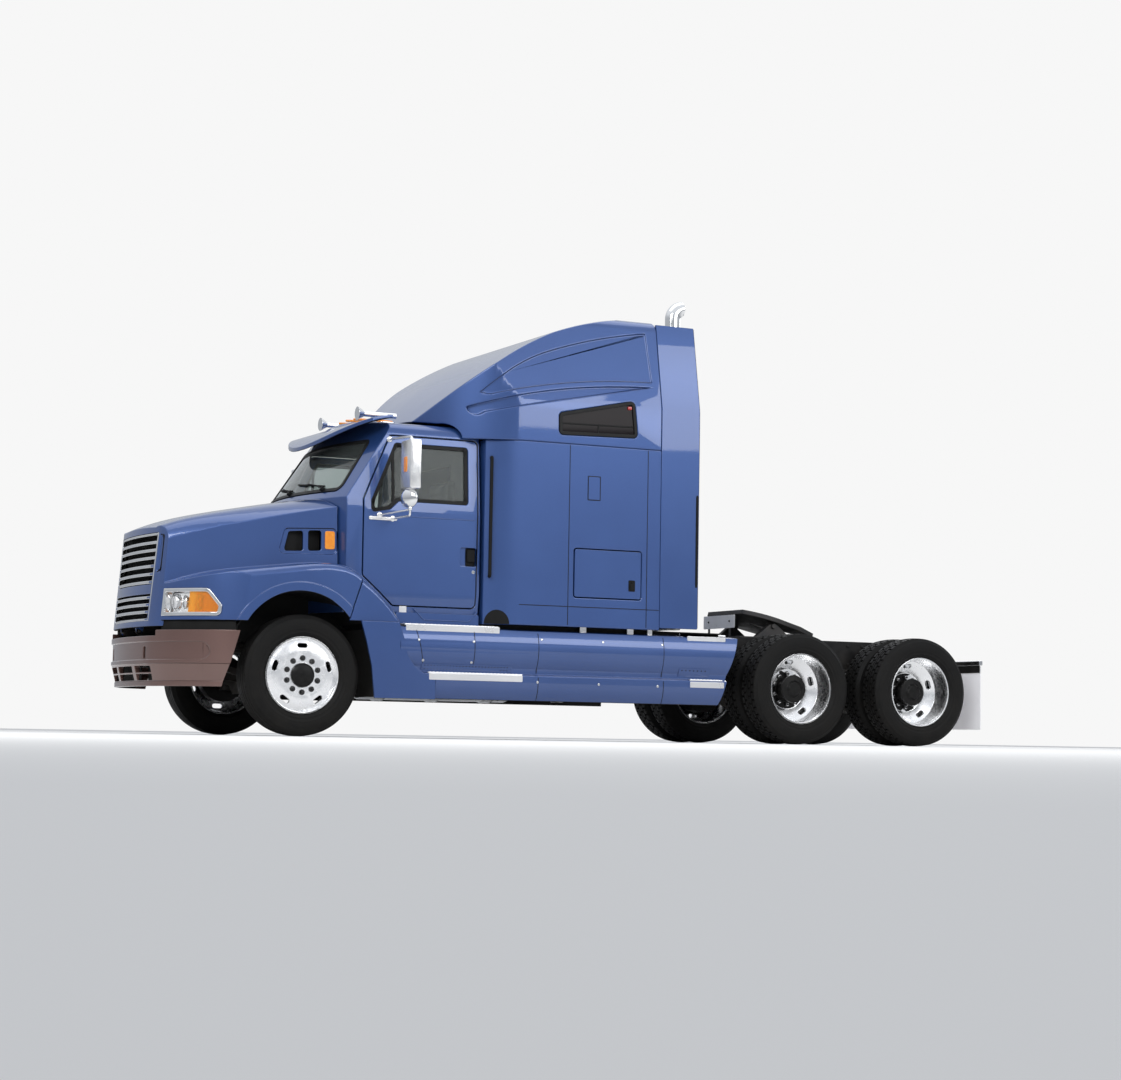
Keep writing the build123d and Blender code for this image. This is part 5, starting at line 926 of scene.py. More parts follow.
# Wipers: two sprung steel arms parked low on the windscreen, pointing the same way, each with
# a rubber blade lying on the glass. The arm turns on a capped spindle at the glass's foot.
SCREEN_OUT = Vector((-0.82, 0.0, 0.57))
SCREEN_TILT = (0.0, math.radians(-55.0), 0.0)
for label, across in (("left", -0.66), ("right", -0.06)):
    arm = [ahead("windscreen", across + step, 2.125 + rise) + SCREEN_OUT * off
           for step, rise, off in ((0.0, 0.0, 0.030), (0.10, 0.030, 0.034), (0.30, 0.062, 0.030))]
    edge = [ahead("windscreen", across + step, 2.158 + step * 0.10) + SCREEN_OUT * 0.010
            for step in (0.02, 0.16, 0.30, 0.44, 0.58)]
    boss = drum(0.022, 0.046, arm[0] - SCREEN_OUT * 0.012, 20, SCREEN_TILT, 0.006)
    wiper = join_up([bent_tube(arm, 0.007), bent_tube(edge, 0.008, 0.05), boss], 40.0)
    fix_on(wiper, "wiper_" + label, "chassis", "trim_black", inner_black)

# Mirrors: a polished head with a flat glass and an amber marker, and a round wide-angle
# mirror under it, carried off the door by bent steel tubes with clamps.
mirror_glass = finish("mirror_glass", (0.72, 0.75, 0.77), (0.76, 0.78, 0.8), 1.0, (0.0, 0.015), Metallic=1.0)
mirror_steel = finish("mirror_steel", (0.80, 0.80, 0.80), (0.88, 0.88, 0.88), 12.0, (0.16, 0.26), 0.1, 200.0,
                      Metallic=0.75)
MIRROR_FINISHES = (chrome, mirror_glass, mirror_steel)
MIRROR_OUT = 1.370
HEAD_X, HEAD_Z = 0.850, 2.320
ROUND_X, ROUND_Z = 0.842, 2.035
STEM_X = 0.846


def on_glass(centre, normal):
    """Picks the mirror head's sunk glass."""
    return normal.x > 0.9 and centre.x > FRONT_AXLE + HEAD_X + 0.01 and abs(centre.z - HEAD_Z) < 0.01


def on_round_glass(centre, normal):
    """Picks the rear half of the round mirror."""
    return centre.x > FRONT_AXLE + ROUND_X + 0.006


for label, side in SIDES:
    door = "door_" + label
    y = side * MIRROR_OUT
    bpy.ops.object.select_all(action="DESELECT")
    bpy.ops.mesh.primitive_cube_add(size=1.0, location=at(HEAD_X, y, HEAD_Z), scale=(0.104, 0.232, 0.420))
    head = bpy.context.object
    bpy.ops.object.transform_apply(location=True, rotation=True, scale=True)
    for face in head.data.polygons:
        face.select = face.normal.x > 0.9
    bpy.ops.object.mode_set(mode="EDIT")
    bpy.ops.mesh.select_mode(type="FACE")
    bpy.ops.mesh.inset(thickness=0.012)
    bpy.ops.transform.translate(value=(-0.012, 0.0, 0.0))
    bpy.ops.object.mode_set(mode="OBJECT")
    round_head = ball(0.088, at(ROUND_X, y, ROUND_Z), 32, 16, ALONG_X, (1.0, 1.0, 0.45))
    bpy.ops.object.transform_apply(location=True, rotation=True, scale=True)
    for shell in (head, round_head):
        for material in MIRROR_FINISHES:
            shell.data.materials.append(material)
    paint_faces(head, lambda centre, normal: True, 2)
    paint_faces(head, on_glass)
    paint_faces(round_head, on_round_glass)
    round_off(head, 0.024, 5)
    round_head.data.transform(Matrix.Translation((-FRONT_AXLE - ROUND_X, -y, 0.0)))
    round_head.data.transform(Matrix.Rotation(math.radians(-30.0 * side), 4, "Z"))
    round_head.location = at(ROUND_X, y - side * 0.012, 0.0)
    top_foot, low_foot, brace_foot = [beside(door, side, x, z)[0]
                                      for x, z in ((0.800, 2.572), (0.820, 1.880), (0.700, 1.905))]
    parts = [
        head,
        round_head,
        bent_tube([top_foot, at(HEAD_X, y, 2.562), at(HEAD_X, y, 2.500)], 0.010, 0.05),
        bent_tube([at(STEM_X, y, 2.130), at(STEM_X, y, 1.882), low_foot], 0.010, 0.05),
        bent_tube([at(STEM_X, y, 1.935), brace_foot], 0.008),
        slab("y", 0.600, 0.860, 1.862, 1.892, 0.008, low_foot.y + side * 0.002, side * 0.008, 0.003),
    ]
    parts += [drum(0.026, 0.012, foot, 20, ALONG_Y, 0.004) for foot in (top_foot, low_foot, brace_foot)]
    parts += [drum(0.018, 0.03, at(0.848, y, high), 16, roll=0.004) for high in (2.535, 2.118, 1.945)]
    mirror = join_up(parts, 40.0)
    fix_on(mirror, "mirror_set_" + label, door, "bright_chrome", MIRROR_FINISHES, "mirror_" + label)
    marker = slab("x", y - 0.028, y + 0.028, 2.255, 2.385, 0.012, 0.791, 0.010, 0.003)
    fix_on(marker, "mirror_marker_" + label, door, "amber_lens", amber_lens)

# Door fittings: a black paddle handle in its recess with a keyhole under it, a rubber strip
# along the belt, and a black grab handle between the door and the sleeper.
GRAB_X, GRAB_Y = 1.72, 1.118
for label, side in SIDES:
    door = "door_" + label
    wall = beside(door, side, 1.480, 1.58)[0].y
    handle = join_up([
        slab("y", 1.522, 1.6125, 1.5025, 1.6595, 0.012, wall, side * 0.003),
        slab("y", 1.530, 1.604, 1.540, 1.645, 0.014, wall + side * 0.010, side * 0.014, 0.005),
        slab("y", 1.534, 1.600, 1.600, 1.626, 0.006, wall, side * 0.014),
    ])
    fix_on(handle, "door_handle_" + label, door, "trim_black", inner_black)
    skin = beside(door, side, 1.588, 1.452)[0]
    key_slot = slab("y", 1.586, 1.590, 1.445, 1.459, 0.001, skin.y + side * 0.0045, side * 0.001)
    lock = join_up([drum(0.016, 0.010, skin, 24, ALONG_Y, 0.003), key_slot])
    fix_on(lock, "door_lock_" + label, door, "bright_chrome", chrome)
    near, far = side * (GRAB_Y - 0.02), side * (GRAB_Y + 0.035)
    rail = bent_tube([at(GRAB_X, near, 1.42), at(GRAB_X - 0.02, far, 1.42), at(GRAB_X - 0.02, far, 2.46),
                      at(GRAB_X, near, 2.46)], 0.015, 0.03)
    fix_on(rail, "grab_handle_" + label, "chassis", "trim_black", inner_black)
    belt = beside(door, side, 1.0, 1.925)[0].y + side * 0.001
    strip = bent_tube([at(0.640, belt, 1.905), at(1.600, belt, 1.905)], 0.005)
    fix_on(strip, "door_strip_" + label, door, "body_blue", body_blue)

# Roof: five amber marker lamps on chromed bases and two polished horns. The lamps are ribbed
# mouldings screwed to the roof.
LAMP_FOOT = 2.758
LAMP_STRETCH = 1.9
dress("air_horns", "air_horns_polished", "bright_chrome", chrome, 0.003, 3, 35.0)
lamps = copy_of("roof_lamps", "roof_lamp_lenses")
for point in lamps.data.vertices:
    point.co.z = LAMP_FOOT + (point.co.z - LAMP_FOOT) * LAMP_STRETCH
roll_edges(lamps, 0.010, 4, 35.0)
fix_on(lamps, "roof_lamp_lenses", "chassis", "amber_lens", amber_lens, "roof_lamps")
bases = []
for across, along in ((-0.60, 0.915), (-0.30, 0.875), (0.0, 0.860), (0.30, 0.875), (0.60, 0.915)):
    roof = touch("cab_shell", at(along, across, 5.0), (0.0, 0.0, -1.0))[0].z
    bases.append(slab("z", along - 0.075, along + 0.075, across - 0.060, across + 0.060, 0.03, roof - 0.004,
                      0.009, 0.002))
fix_on(join_up(bases), "roof_lamp_bases", "chassis", "bright_chrome", chrome)

# Sleeper sides: the panels meet in sealed seams, drawn here as slim black sealing strips, with
# a framed vent high up and the hatches' latches.
SIDE_FACE = 1.220
SEAM_R = 0.0035
for label, side in SIDES:
    seams = [bent_tube([at(x, side * SIDE_FACE, z) for x, z in line], SEAM_R, 0.01, 1) for line in (
        [(2.430, 1.015), (2.430, 2.610)],
        [(3.213, 1.015), (3.213, 2.610)],
        [(1.955, 1.178), (2.426, 1.178)],
        [(3.217, 1.178), (3.340, 1.178)],
        [(2.434, 1.178), (3.209, 1.178)],
    )]
    fix_on(join_up(seams), "sleeper_seams_" + label, "chassis", "seal_rubber", seal_rubber)
    flap = slab("y", 2.616, 2.729, 2.136, 2.339, 0.010, side * (SIDE_FACE - 0.002), side * 0.0045, 0.0015)
    fix_on(flap, "sleeper_vent_" + label, "chassis", "body_blue", body_blue)
    ends = ((2.612, 2.132), (2.733, 2.132), (2.733, 2.343), (2.612, 2.343), (2.612, 2.132))
    outline = bent_tube([at(x, side * SIDE_FACE, z) for x, z in ends], 0.004, 0.008, 1)
    fix_on(outline, "sleeper_vent_seal_" + label, "chassis", "seal_rubber", seal_rubber)
    latch = join_up([
        slab("y", 3.030, 3.096, 1.335, 1.435, 0.010, side * (SIDE_FACE - 0.001), side * 0.004, 0.001),
        slab("y", 3.044, 3.082, 1.350, 1.402, 0.008, side * (SIDE_FACE + 0.002), side * 0.009, 0.002),
        drum(0.009, 0.006, at(3.063, side * (SIDE_FACE + 0.005), 1.419), 18, ALONG_Y, 0.0015),
    ])
    fix_on(latch, "hatch_latch_" + label, "hatch_" + label, "trim_black", inner_black)

# Roof windows: dark glass behind a black rubber frame, with two bars for the sliding vent
# pane and a small red lamp at the upper rear corner.
dark_glass = finish("dark_glass", (0.008, 0.006, 0.007), (0.014, 0.010, 0.011), 2.0, (0.03, 0.06),
                    Specular_IOR_Level=0.12)
red_lens = finish("red_lens", (0.34, 0.004, 0.003), (0.42, 0.007, 0.005), 40.0, (0.1, 0.16), 0.2, 200.0,
                  Coat_Weight=0.5)
for place in nodes["roof_windows"].material_slots:
    place.material = dark_glass
for label, side in SIDES:
    seal = cut_border(outer_skin("roof_windows", lambda centre, normal: normal.y * side > 0.6), 0.030)
    work(seal, "SOLIDIFY", thickness=0.014, offset=0.9)
    roll_edges(seal, 0.004, 2, 35.0)
    bars = [seal]
    for ends in (((2.71, 2.715), (2.71, 2.805)), ((2.34, 2.800), (3.075, 2.812))):
        bars.append(bent_tube([beside("roof_windows", side, x, z)[0] for x, z in ends], 0.007, 0.01, 2))
    fix_on(join_up(bars), "roof_window_frame_" + label, "chassis", "seal_rubber", seal_rubber)
    pane = beside("roof_windows", side, 3.02, 2.985)[0].y
    red_lamp = slab("y", 3.000, 3.040, 2.965, 2.995, 0.010, pane - side * 0.004, side * 0.016, 0.004)
    fix_on(red_lamp, "roof_side_lamp_" + label, "chassis", "lamp_lens", red_lens)

# Side extenders: a long black grab handle near each rear edge, and a rubber strip along it
# that fills the gap to the trailer.
PULL_X, LIP_X = 3.722, 3.738
for label, side in SIDES:
    pull = [at(PULL_X, side * y, z)
            for y, z in ((1.214, 1.40), (1.2195, 1.42), (1.2195, 2.21), (1.214, 2.23))]
    fix_on(bent_tube(pull, 0.012, 0.02), "extender_handle_" + label, "chassis", "trim_black", inner_black)
    lip = [at(LIP_X, side * y, z) for y, z in ((1.205, 1.03), (1.205, 3.00), (1.062, 3.775))]
    fix_on(bent_tube(lip, 0.010, 0.06), "extender_lip_" + label, "chassis", "seal_rubber", seal_rubber)

# Step plates and skirts: bright pressed treads with rows of raised grip rings, and quarter
# turn fasteners that hold the skirt panels. Black seams part the skirt into its sections.
tank_alloy = finish("tank_alloy", (0.55, 0.56, 0.575), (0.68, 0.69, 0.70), 9.0, (0.18, 0.32), 0.25, 300.0,
                    dust=0.3, Metallic=1.0)
step_alloy = finish("step_alloy", (0.76, 0.76, 0.77), (0.82, 0.82, 0.83), 3.0, (0.26, 0.32), dust=0.05,
                    Metallic=0.8)
dress("step_plates", "step_treads", "tank_alloy", step_alloy, 0.004, 2, 35.0)
dress("fuel_tanks", "fuel_tank_shells", "tank_alloy", tank_alloy, 0.012, 4, 35.0)
UP = (0.0, 0.0, 1.0)
GRIP_PITCH = 0.034
grip = ring(0.0085, 0.0028, (0.0, 0.0, 0.0), UPRIGHT, 8, 4)
grip_places = []
# each tread's front and rear, its inner and outer edge, its height and its rows of rings
for side in (-1, 1):
    for front, rear, inner, outer, top, rows in (
        (0.90, 1.77, 1.070, 1.185, 0.9785, 3), (1.12, 2.00, 1.182, 1.208, 0.5705, 1),
        (3.65, 4.045, 1.070, 1.185, 0.9785, 3), (3.68, 4.00, 1.182, 1.208, 0.5705, 1),
    ):
        for row in range(rows):
            y = side * (inner + (outer - inner) * (row + 0.5) / rows)
            for place in range(int((rear - front) / GRIP_PITCH)):
                grip_places.append(facing_out(at(front + (place + 0.5) * GRIP_PITCH, y, top), UP))
fix_on(set_out(grip, grip_places), "step_grips", "chassis", "tank_alloy", step_alloy)
bpy.data.objects.remove(grip)
noses = []
# along from, along to, low and high edge of each step's folded front, and where it meets the skirt
FOLDS = ((0.905, 1.785, 0.916, 0.974, 0.962), (1.118, 2.003, 0.502, 0.560, 0.548),
         (3.648, 4.045, 0.916, 0.958, 0.922), (3.575, 3.967, 0.962, 0.976, 0.964),
         (3.672, 4.025, 0.495, 0.548, 0.536))
for side in (-1, 1):
    for front, rear, low, high, foot in FOLDS:
        found = [abs(beside(node, side, along, foot)[0].y) for node in ("side_skirts", "step_plates")
                 for along in (front + 0.03, (front + rear) / 2, rear - 0.03)]
        outer = max(reach for reach in found if reach < 1.4)
        noses.append(slab("y", front, rear, low, high, 0.008, side * (outer - 0.010), side * 0.014, 0.003))
fix_on(join_up(noses), "step_noses", "chassis", "tank_alloy", step_alloy)
fastener = drum(0.012, 0.006, (0.0, 0.0, 0.002), 16, roll=0.002)
FASTENERS = ((1.018, 0.840), (1.532, 0.839), (2.185, 0.878), (2.788, 0.875), (3.385, 0.869), (1.067, 0.667),
             (1.522, 0.660), (2.148, 0.504), (2.749, 0.499), (3.341, 0.497))
fasteners = set_out(fastener, [facing_out(*beside("side_skirts", side, along, high))
                               for side in (-1, 1) for along, high in FASTENERS])
fix_on(smooth(fasteners, 35.0), "skirt_fasteners", "chassis", "tank_alloy", tank_alloy)
bpy.data.objects.remove(fastener)
UPPER = (0.960, 0.93, 0.90, 0.86, 0.80, 0.74, 0.68, 0.62, 0.58)
LOWER = (0.545, 0.50, 0.46, 0.42, 0.38, 0.345)
seams = []
for side in (-1, 1):
    for along, lean, heights in ((1.543, 0.0, UPPER[1:8]), (2.155, 0.0, UPPER), (3.400, 0.0, UPPER),
                                 (2.155, 0.0, LOWER), (3.400, 0.0, LOWER), (1.000, 0.24, UPPER[1:8])):
        spots = [beside("side_skirts", side, along + lean * (0.93 - high), high)[0] for high in heights]
        seams.append(bent_tube([spot for spot in spots if hit(spot)], SEAM_R, 0.01, 1))
fix_on(join_up(seams), "skirt_seams", "chassis", "seal_rubber", seal_rubber)

# Below the doors: a blue sill panel with a pressed pocket, a square white reflector, the black
# boot where the cab meets the sleeper, and a black closing strip over the tanks with the
# bright tops of the tank straps before it.
SILL_LINE = ((1.035, 1.112), (1.130, 1.020), (1.560, 1.020), (1.635, 1.105))
BOOT_FOOT = 1.006


def lay_on(piece, node, side, lowest=0.0):
    """Moves a flat plate's points across onto the side of a CAD node."""
    for point in piece.data.vertices:
        x, z = point.co.x - FRONT_AXLE, max(lowest, point.co.z)
        ground = beside(node, side, x, z)[0]
        if hit(ground):
            point.co.y += ground.y - side * 0.001
    return piece


for label, side in SIDES:
    sill = slab("y", 0.870, 1.650, 0.982, 1.078, 0.012, side * 1.036, side * 0.010, 0.002)
    pocket = bent_tube([at(x, side * 1.049, z) for x, z in SILL_LINE], 0.005, 0.03)
    fix_on(join_up([sill, pocket]), "sill_panel_" + label, "chassis", "body_blue", body_blue)
    wall = beside("cab_shell", side, 0.940, 1.100)[0].y
    reflector = slab("y", 0.906, 0.974, 1.066, 1.132, 0.006, wall, side * 0.005, 0.0015)
    fix_on(reflector, "sill_reflector_" + label, "chassis", "lamp_lens", step_alloy)
    arch = arc(1.780, 1.004, 0.100, 0.125, range(0, 181, 12))
    boot = lay_on(plate(arch, 0.0, side * 0.004), "sleeper_shell", side, BOOT_FOOT)
    fix_on(boot, "sleeper_boot_" + label, "chassis", "seal_rubber", inner_black)
    strip = slab("y", 1.665, 4.100, 0.900, 0.999, 0.004, side * 1.060, side * 0.004)
    fix_on(strip, "closing_strip_" + label, "chassis", "trim_black", inner_black)
    tops = [slab("y", low, high, 0.956, 1.004, 0.006, side * 1.100, side * 0.012, 0.003)
            for low, high in ((2.608, 2.672), (3.081, 3.146), (3.288, 3.336))]
    fix_on(join_up(tops), "strap_tops_" + label, "chassis", "bright_chrome", step_alloy)

# Exhaust: twin chromed stacks behind the sleeper. Each is a fat silencer can in a pierced heat
# shield, with a turned-out pipe above it, held by steel bands to a black bracket on the frame.
STACK_X = 3.590
STACK_Y = 0.950
CAN_R = 0.105
PIPE_R = 0.070
BRACKET_TOP = 1.095


def on_bracket(centre, normal):
    """Picks the faces of the bracket under each stack."""
    out = math.hypot(centre.x - FRONT_AXLE - STACK_X, abs(centre.y) - STACK_Y)
    return centre.z < BRACKET_TOP and out > CAN_R + 0.005


dress("exhaust_stacks", "exhaust_stacks_chromed", "bright_chrome", (chrome, chassis_black), 0.003, 3, 35.0,
      on_bracket)
bands = []
for side in (-1, 1):
    for high, radius in ((1.150, CAN_R), (1.780, CAN_R), (2.440, CAN_R), (2.660, PIPE_R), (3.300, PIPE_R)):
        band = drum(radius + 0.004, 0.032, at(STACK_X, side * STACK_Y, high), 48, ends="NOTHING")
        work(band, "SOLIDIFY", thickness=0.005, offset=0.0)
        bands.append(round_off(band, 0.0015, 1, 50.0))
        bands.append(slab("y", STACK_X - 0.022, STACK_X + 0.022, high - 0.014, high + 0.014, 0.004,
                          side * (STACK_Y - radius - 0.016), side * 0.016, 0.002))
fix_on(join_up(bands, 40.0), "stack_bands", "chassis", "bright_chrome", step_alloy)
# the shield's holes are small black marks laid on it: painted shade for the dark seen through each hole
HOLE_COLUMNS, HOLE_ROWS = 9, 22
HOLE_RISE = 0.052
hole_shade = drum(0.0075, 0.0012, sides=10)
hole_shade.scale = (0.6, 2.6, 1.0)
bpy.ops.object.transform_apply(location=True, rotation=True, scale=True)
hole_places = []
for side in (-1, 1):
    for column in range(HOLE_COLUMNS):
        around = math.radians(-70.0 + column * 17.5)
        facing = Vector((math.cos(around), side * math.sin(around), 0.0))
        for row in range(HOLE_ROWS):
            high = 1.24 + row * HOLE_RISE + (HOLE_RISE / 2 if column % 2 else 0.0)
            hole_places.append(facing_out(at(STACK_X, side * STACK_Y, high) + facing * CAN_R, facing))
fix_on(set_out(hole_shade, hole_places), "shield_holes", "chassis", "trim_black", inner_black)
bpy.data.objects.remove(hole_shade)

# Fifth wheel: a cast plate on a rocking base, its top wet with black grease, and a bare white
# board before it, bolted to two stays whose feet stand on the base's front cross plate.
greased = finish("greased", (0.008, 0.008, 0.008), (0.022, 0.019, 0.016), 14.0, (0.12, 0.45), 0.8, 60.0)
dress("fifth_wheel_plate", "fifth_wheel_top", "cast_metal", (cast_iron, greased), 0.005, 3, 32.0,
      lambda centre, normal: normal.z > 0.75)
enamel_white = finish("enamel_white", (0.80, 0.80, 0.80), (0.88, 0.88, 0.88), 6.0, (0.25, 0.4), 0.15, 200.0,
                      dust=0.1, Coat_Weight=0.3)
BOARD_X = 4.662
STAY_HALF = 0.018


def bolted(spot, radius, height):
    """A bolt head whose top looks forwards."""
    bolt = bolt_head(radius, height)
    bolt.matrix_world = Matrix.Translation(spot) @ Matrix.Rotation(math.radians(-90.0), 4, "Y")
    return bolt


board = slab("x", -0.300, 0.300, 1.100, 1.225, 0.012, BOARD_X, 0.003, 0.001)
fix_on(board, "blank_board", "chassis", "flap_white", enamel_white)
stays = []
for across in (-0.200, 0.200):
    low, high = across - STAY_HALF, across + STAY_HALF
    stays.append(slab("x", low, high, 1.0155, 1.205, 0.006, BOARD_X + 0.0035, 0.005, 0.001))
    stays.append(slab("z", 4.666, 4.770, low, high, 0.006, 1.0162, 0.005, 0.001))
    stays.append(bolted(at(BOARD_X, across, 1.165), 0.008, 0.007))
fix_on(join_up(stays), "blank_board_stays", "chassis", "chassis_black", chassis_black)

# Mud flaps: white moulded flaps hung by a black clamping strip from a bright tube across the
# frame's end. The tube's ends are capped, and the strip is bolted through.
CLAMP_INNER, CLAMP_OUTER, CLAMP_LOW, CLAMP_TOP = 0.605, 1.195, 0.712, 0.783
dress("mudflap_bar", "mudflap_tube", "bright_chrome", chrome, 0.006, 4, 35.0)
flap_white = finish("flap_white", (0.88, 0.86, 0.90), (0.94, 0.92, 0.96), 5.0, (0.4, 0.6), 0.4, 120.0,
                    dust=0.10, Subsurface_Weight=0.8, Subsurface_Scale=0.06,
                    Subsurface_Radius=(1.0, 0.95, 0.97))
dress("mudflaps", "mudflap_sheets", "flap_white", flap_white, 0.0015, 2, 35.0)
strips = []
for side in (-1, 1):
    ends = sorted((side * CLAMP_INNER, side * CLAMP_OUTER))
    for face_x, push in ((6.8605, -0.003), (6.8715, 0.003)):
        strips.append(slab("x", *ends, CLAMP_LOW, CLAMP_TOP, 0.006, face_x, push, 0.001))
    strips += [bolted(at(6.8575, side * (0.65 + place * 0.10), 0.748), 0.007, 0.006) for place in range(6)]
fix_on(join_up(strips), "mudflap_strips", "chassis", "chassis_black", inner_black)

# Rear lamps: four round moulded red lenses, pressed into rubber grommets on the last cross
# member.
lenses, grommets = [], []
for across in (-0.300, -0.165, 0.165, 0.300):
    lenses.append(round_off(drum(0.048, 0.018, at(6.858, across, 0.866), 40, ALONG_X), 0.006, 4))
    grommets.append(ring(0.052, 0.007, at(6.852, across, 0.866)))
fix_on(join_up(lenses, 35.0), "rear_lamp_lenses", "chassis", "lamp_lens", red_lens)
fix_on(join_up(grommets, 60.0), "rear_lamp_grommets", "chassis", "seal_rubber", seal_rubber)

# Radiator: a dark core of flat tubes between two side tanks, seen through the grille.
radiator_core = finish("radiator_core", (0.010, 0.010, 0.010), (0.020, 0.019, 0.018), 20.0, (0.5, 0.7), 0.5,
                       300.0)
dress("radiator", "radiator_tanks", "chassis_black", radiator_core, 0.008, 3, 35.0)
bpy.ops.object.select_all(action="DESELECT")
bpy.ops.mesh.primitive_cube_add(size=1.0, scale=(0.004, 0.860, 0.004))
fin = bpy.context.object
bpy.ops.object.transform_apply(location=True, rotation=True, scale=True)
fin.data.transform(Matrix.Rotation(math.radians(90.0), 4, "Z"))
core_tubes = set_out(fin, [facing_out(at(-0.946, 0.0, 1.030 + row * 0.0167), (-1.0, 0.0, 0.0))
                           for row in range(34)])
fix_on(core_tubes, "radiator_tubes", "chassis", "chassis_black", radiator_core)
bpy.data.objects.remove(fin)

# Gangway: a rubber boot joins the cab's rear wall to the sleeper, clamped by a steel frame.
dress("gangway_seal", "gangway_boot", "seal_rubber", seal_rubber, 0.004, 2, 35.0)

# Grip pads: moulded blue pads with pressed dimples, above each lower step, to keep boots off
# the paint. Each dimple is a small black disc on the pad, as painted shade.
DIMPLE_ROWS = 2
PAD_EDGE = 0.03
# a black disc for each dimple: painted shade
dimple_shade = drum(0.0060, 0.003, sides=8)
dimple_places, pads = [], []
PADS = ((1.060, 1.915, 0.585, 0.640, 0.030), (3.570, 3.890, 0.590, 0.668, 0.040))
for side in (-1, 1):
    for front, rear, low, high, pitch in PADS:
        pads.append(lay_on(slab("y", front, rear, low, high, 0.010, 0.0, side * 0.005), "side_skirts", side))
        for row in range(DIMPLE_ROWS):
            level_z = low + (high - low) * (row + 0.5) / DIMPLE_ROWS
            for column in range(int((rear - front - PAD_EDGE) / pitch)):
                spot, facing = beside("side_skirts", side, front + PAD_EDGE + column * pitch, level_z)
                if hit(spot):
                    dimple_places.append(facing_out(spot + facing * 0.0045, facing))
fix_on(join_up(pads), "skirt_grip_pads", "chassis", "body_blue", body_blue)
fix_on(set_out(dimple_shade, dimple_places), "grip_pad_dimples", "chassis", "trim_black", inner_black)
bpy.data.objects.remove(dimple_shade)

# Dashboard: a soft grey moulding with a hooded gauge panel, a row of switches, air vents and a
# glove box. The gauges have plain white rings and needles, with no figures.
dash_vinyl = finish("dash_vinyl", (0.030, 0.031, 0.035), (0.048, 0.049, 0.053), 18.0, (0.45, 0.65), 0.5,
                    350.0)
dress("dashboard", "dashboard_moulding", "trim_black", dash_vinyl, 0.014, 4, 32.0)
DASH_BACK = touch("dashboard", at(2.0, -0.480, 1.900), (-1.0, 0.0, 0.0))[0].x - FRONT_AXLE
DIAL_X = DASH_BACK + 0.011
details = [slab("x", *edges, DASH_BACK - 0.004, thick, 0.004) for edges, thick in (
    ((-0.760, -0.200, 1.800, 1.990, 0.030), 0.014),
    ((-0.150, 0.330, 1.560, 1.960, 0.030), 0.012),
    ((0.420, 0.800, 1.600, 1.800, 0.020), 0.010),
)]
for row in range(2):
    for column in range(6):
        left, foot = -0.120 + column * 0.072, 1.600 + row * 0.075
        details.append(slab("x", left, left + 0.050, foot, foot + 0.055, 0.006, DASH_BACK + 0.006, 0.010,
                            0.003))
for left in (-0.840, 0.020, 0.420, 0.640):
    for slat in range(5):
        foot = 1.862 + slat * 0.018
        details.append(slab("x", left, left + 0.150, foot, foot + 0.006, 0.002, DASH_BACK - 0.002, 0.012))
fix_on(join_up(details), "dashboard_fittings", "chassis", "trim_black", inner_black)
dials = []
for middle, high, radius in ((-0.560, 1.900, 0.058), (-0.410, 1.900, 0.058), (-0.700, 1.935, 0.030),
                             (-0.700, 1.860, 0.030), (-0.275, 1.935, 0.030), (-0.275, 1.860, 0.030),
                             (-0.070, 1.880, 0.028), (0.010, 1.880, 0.028)):
    centre = at(DIAL_X, middle, high)
    dials.append(ring(radius, 0.0035, centre, ALONG_X, 36, 8))
    dials.append(bent_tube([centre, centre + Vector((0.0, -0.6, 0.45)) * radius], 0.0015, 0.002, 1))
fix_on(join_up(dials), "gauge_rings", "chassis", "bright_chrome", chrome)
wheel_grip = finish("wheel_grip", (0.014, 0.014, 0.015), (0.026, 0.026, 0.027), 25.0, (0.4, 0.6), 0.5, 300.0)
dress("steering_wheel", "steering_wheel_grip", "trim_black", wheel_grip, 0.003, 2, 32.0)

# Seats: two air-sprung seats. Each has a pedestal with a rubber bellows, a stuffed cushion and
# a stuffed back in grey-blue cloth, piped along the edges, with sewn channels across.
SEAT_Y = 0.480
PUFF_LIMIT = 0.024
seat_cloth = finish("seat_cloth", (0.055, 0.060, 0.080), (0.085, 0.092, 0.115), 60.0, (0.8, 0.95), 0.8, 700.0,
                    Sheen_Weight=0.35)
piping_cloth = finish("piping_cloth", (0.020, 0.021, 0.026), (0.035, 0.036, 0.042), 60.0, (0.7, 0.9), 0.5,
                      700.0)


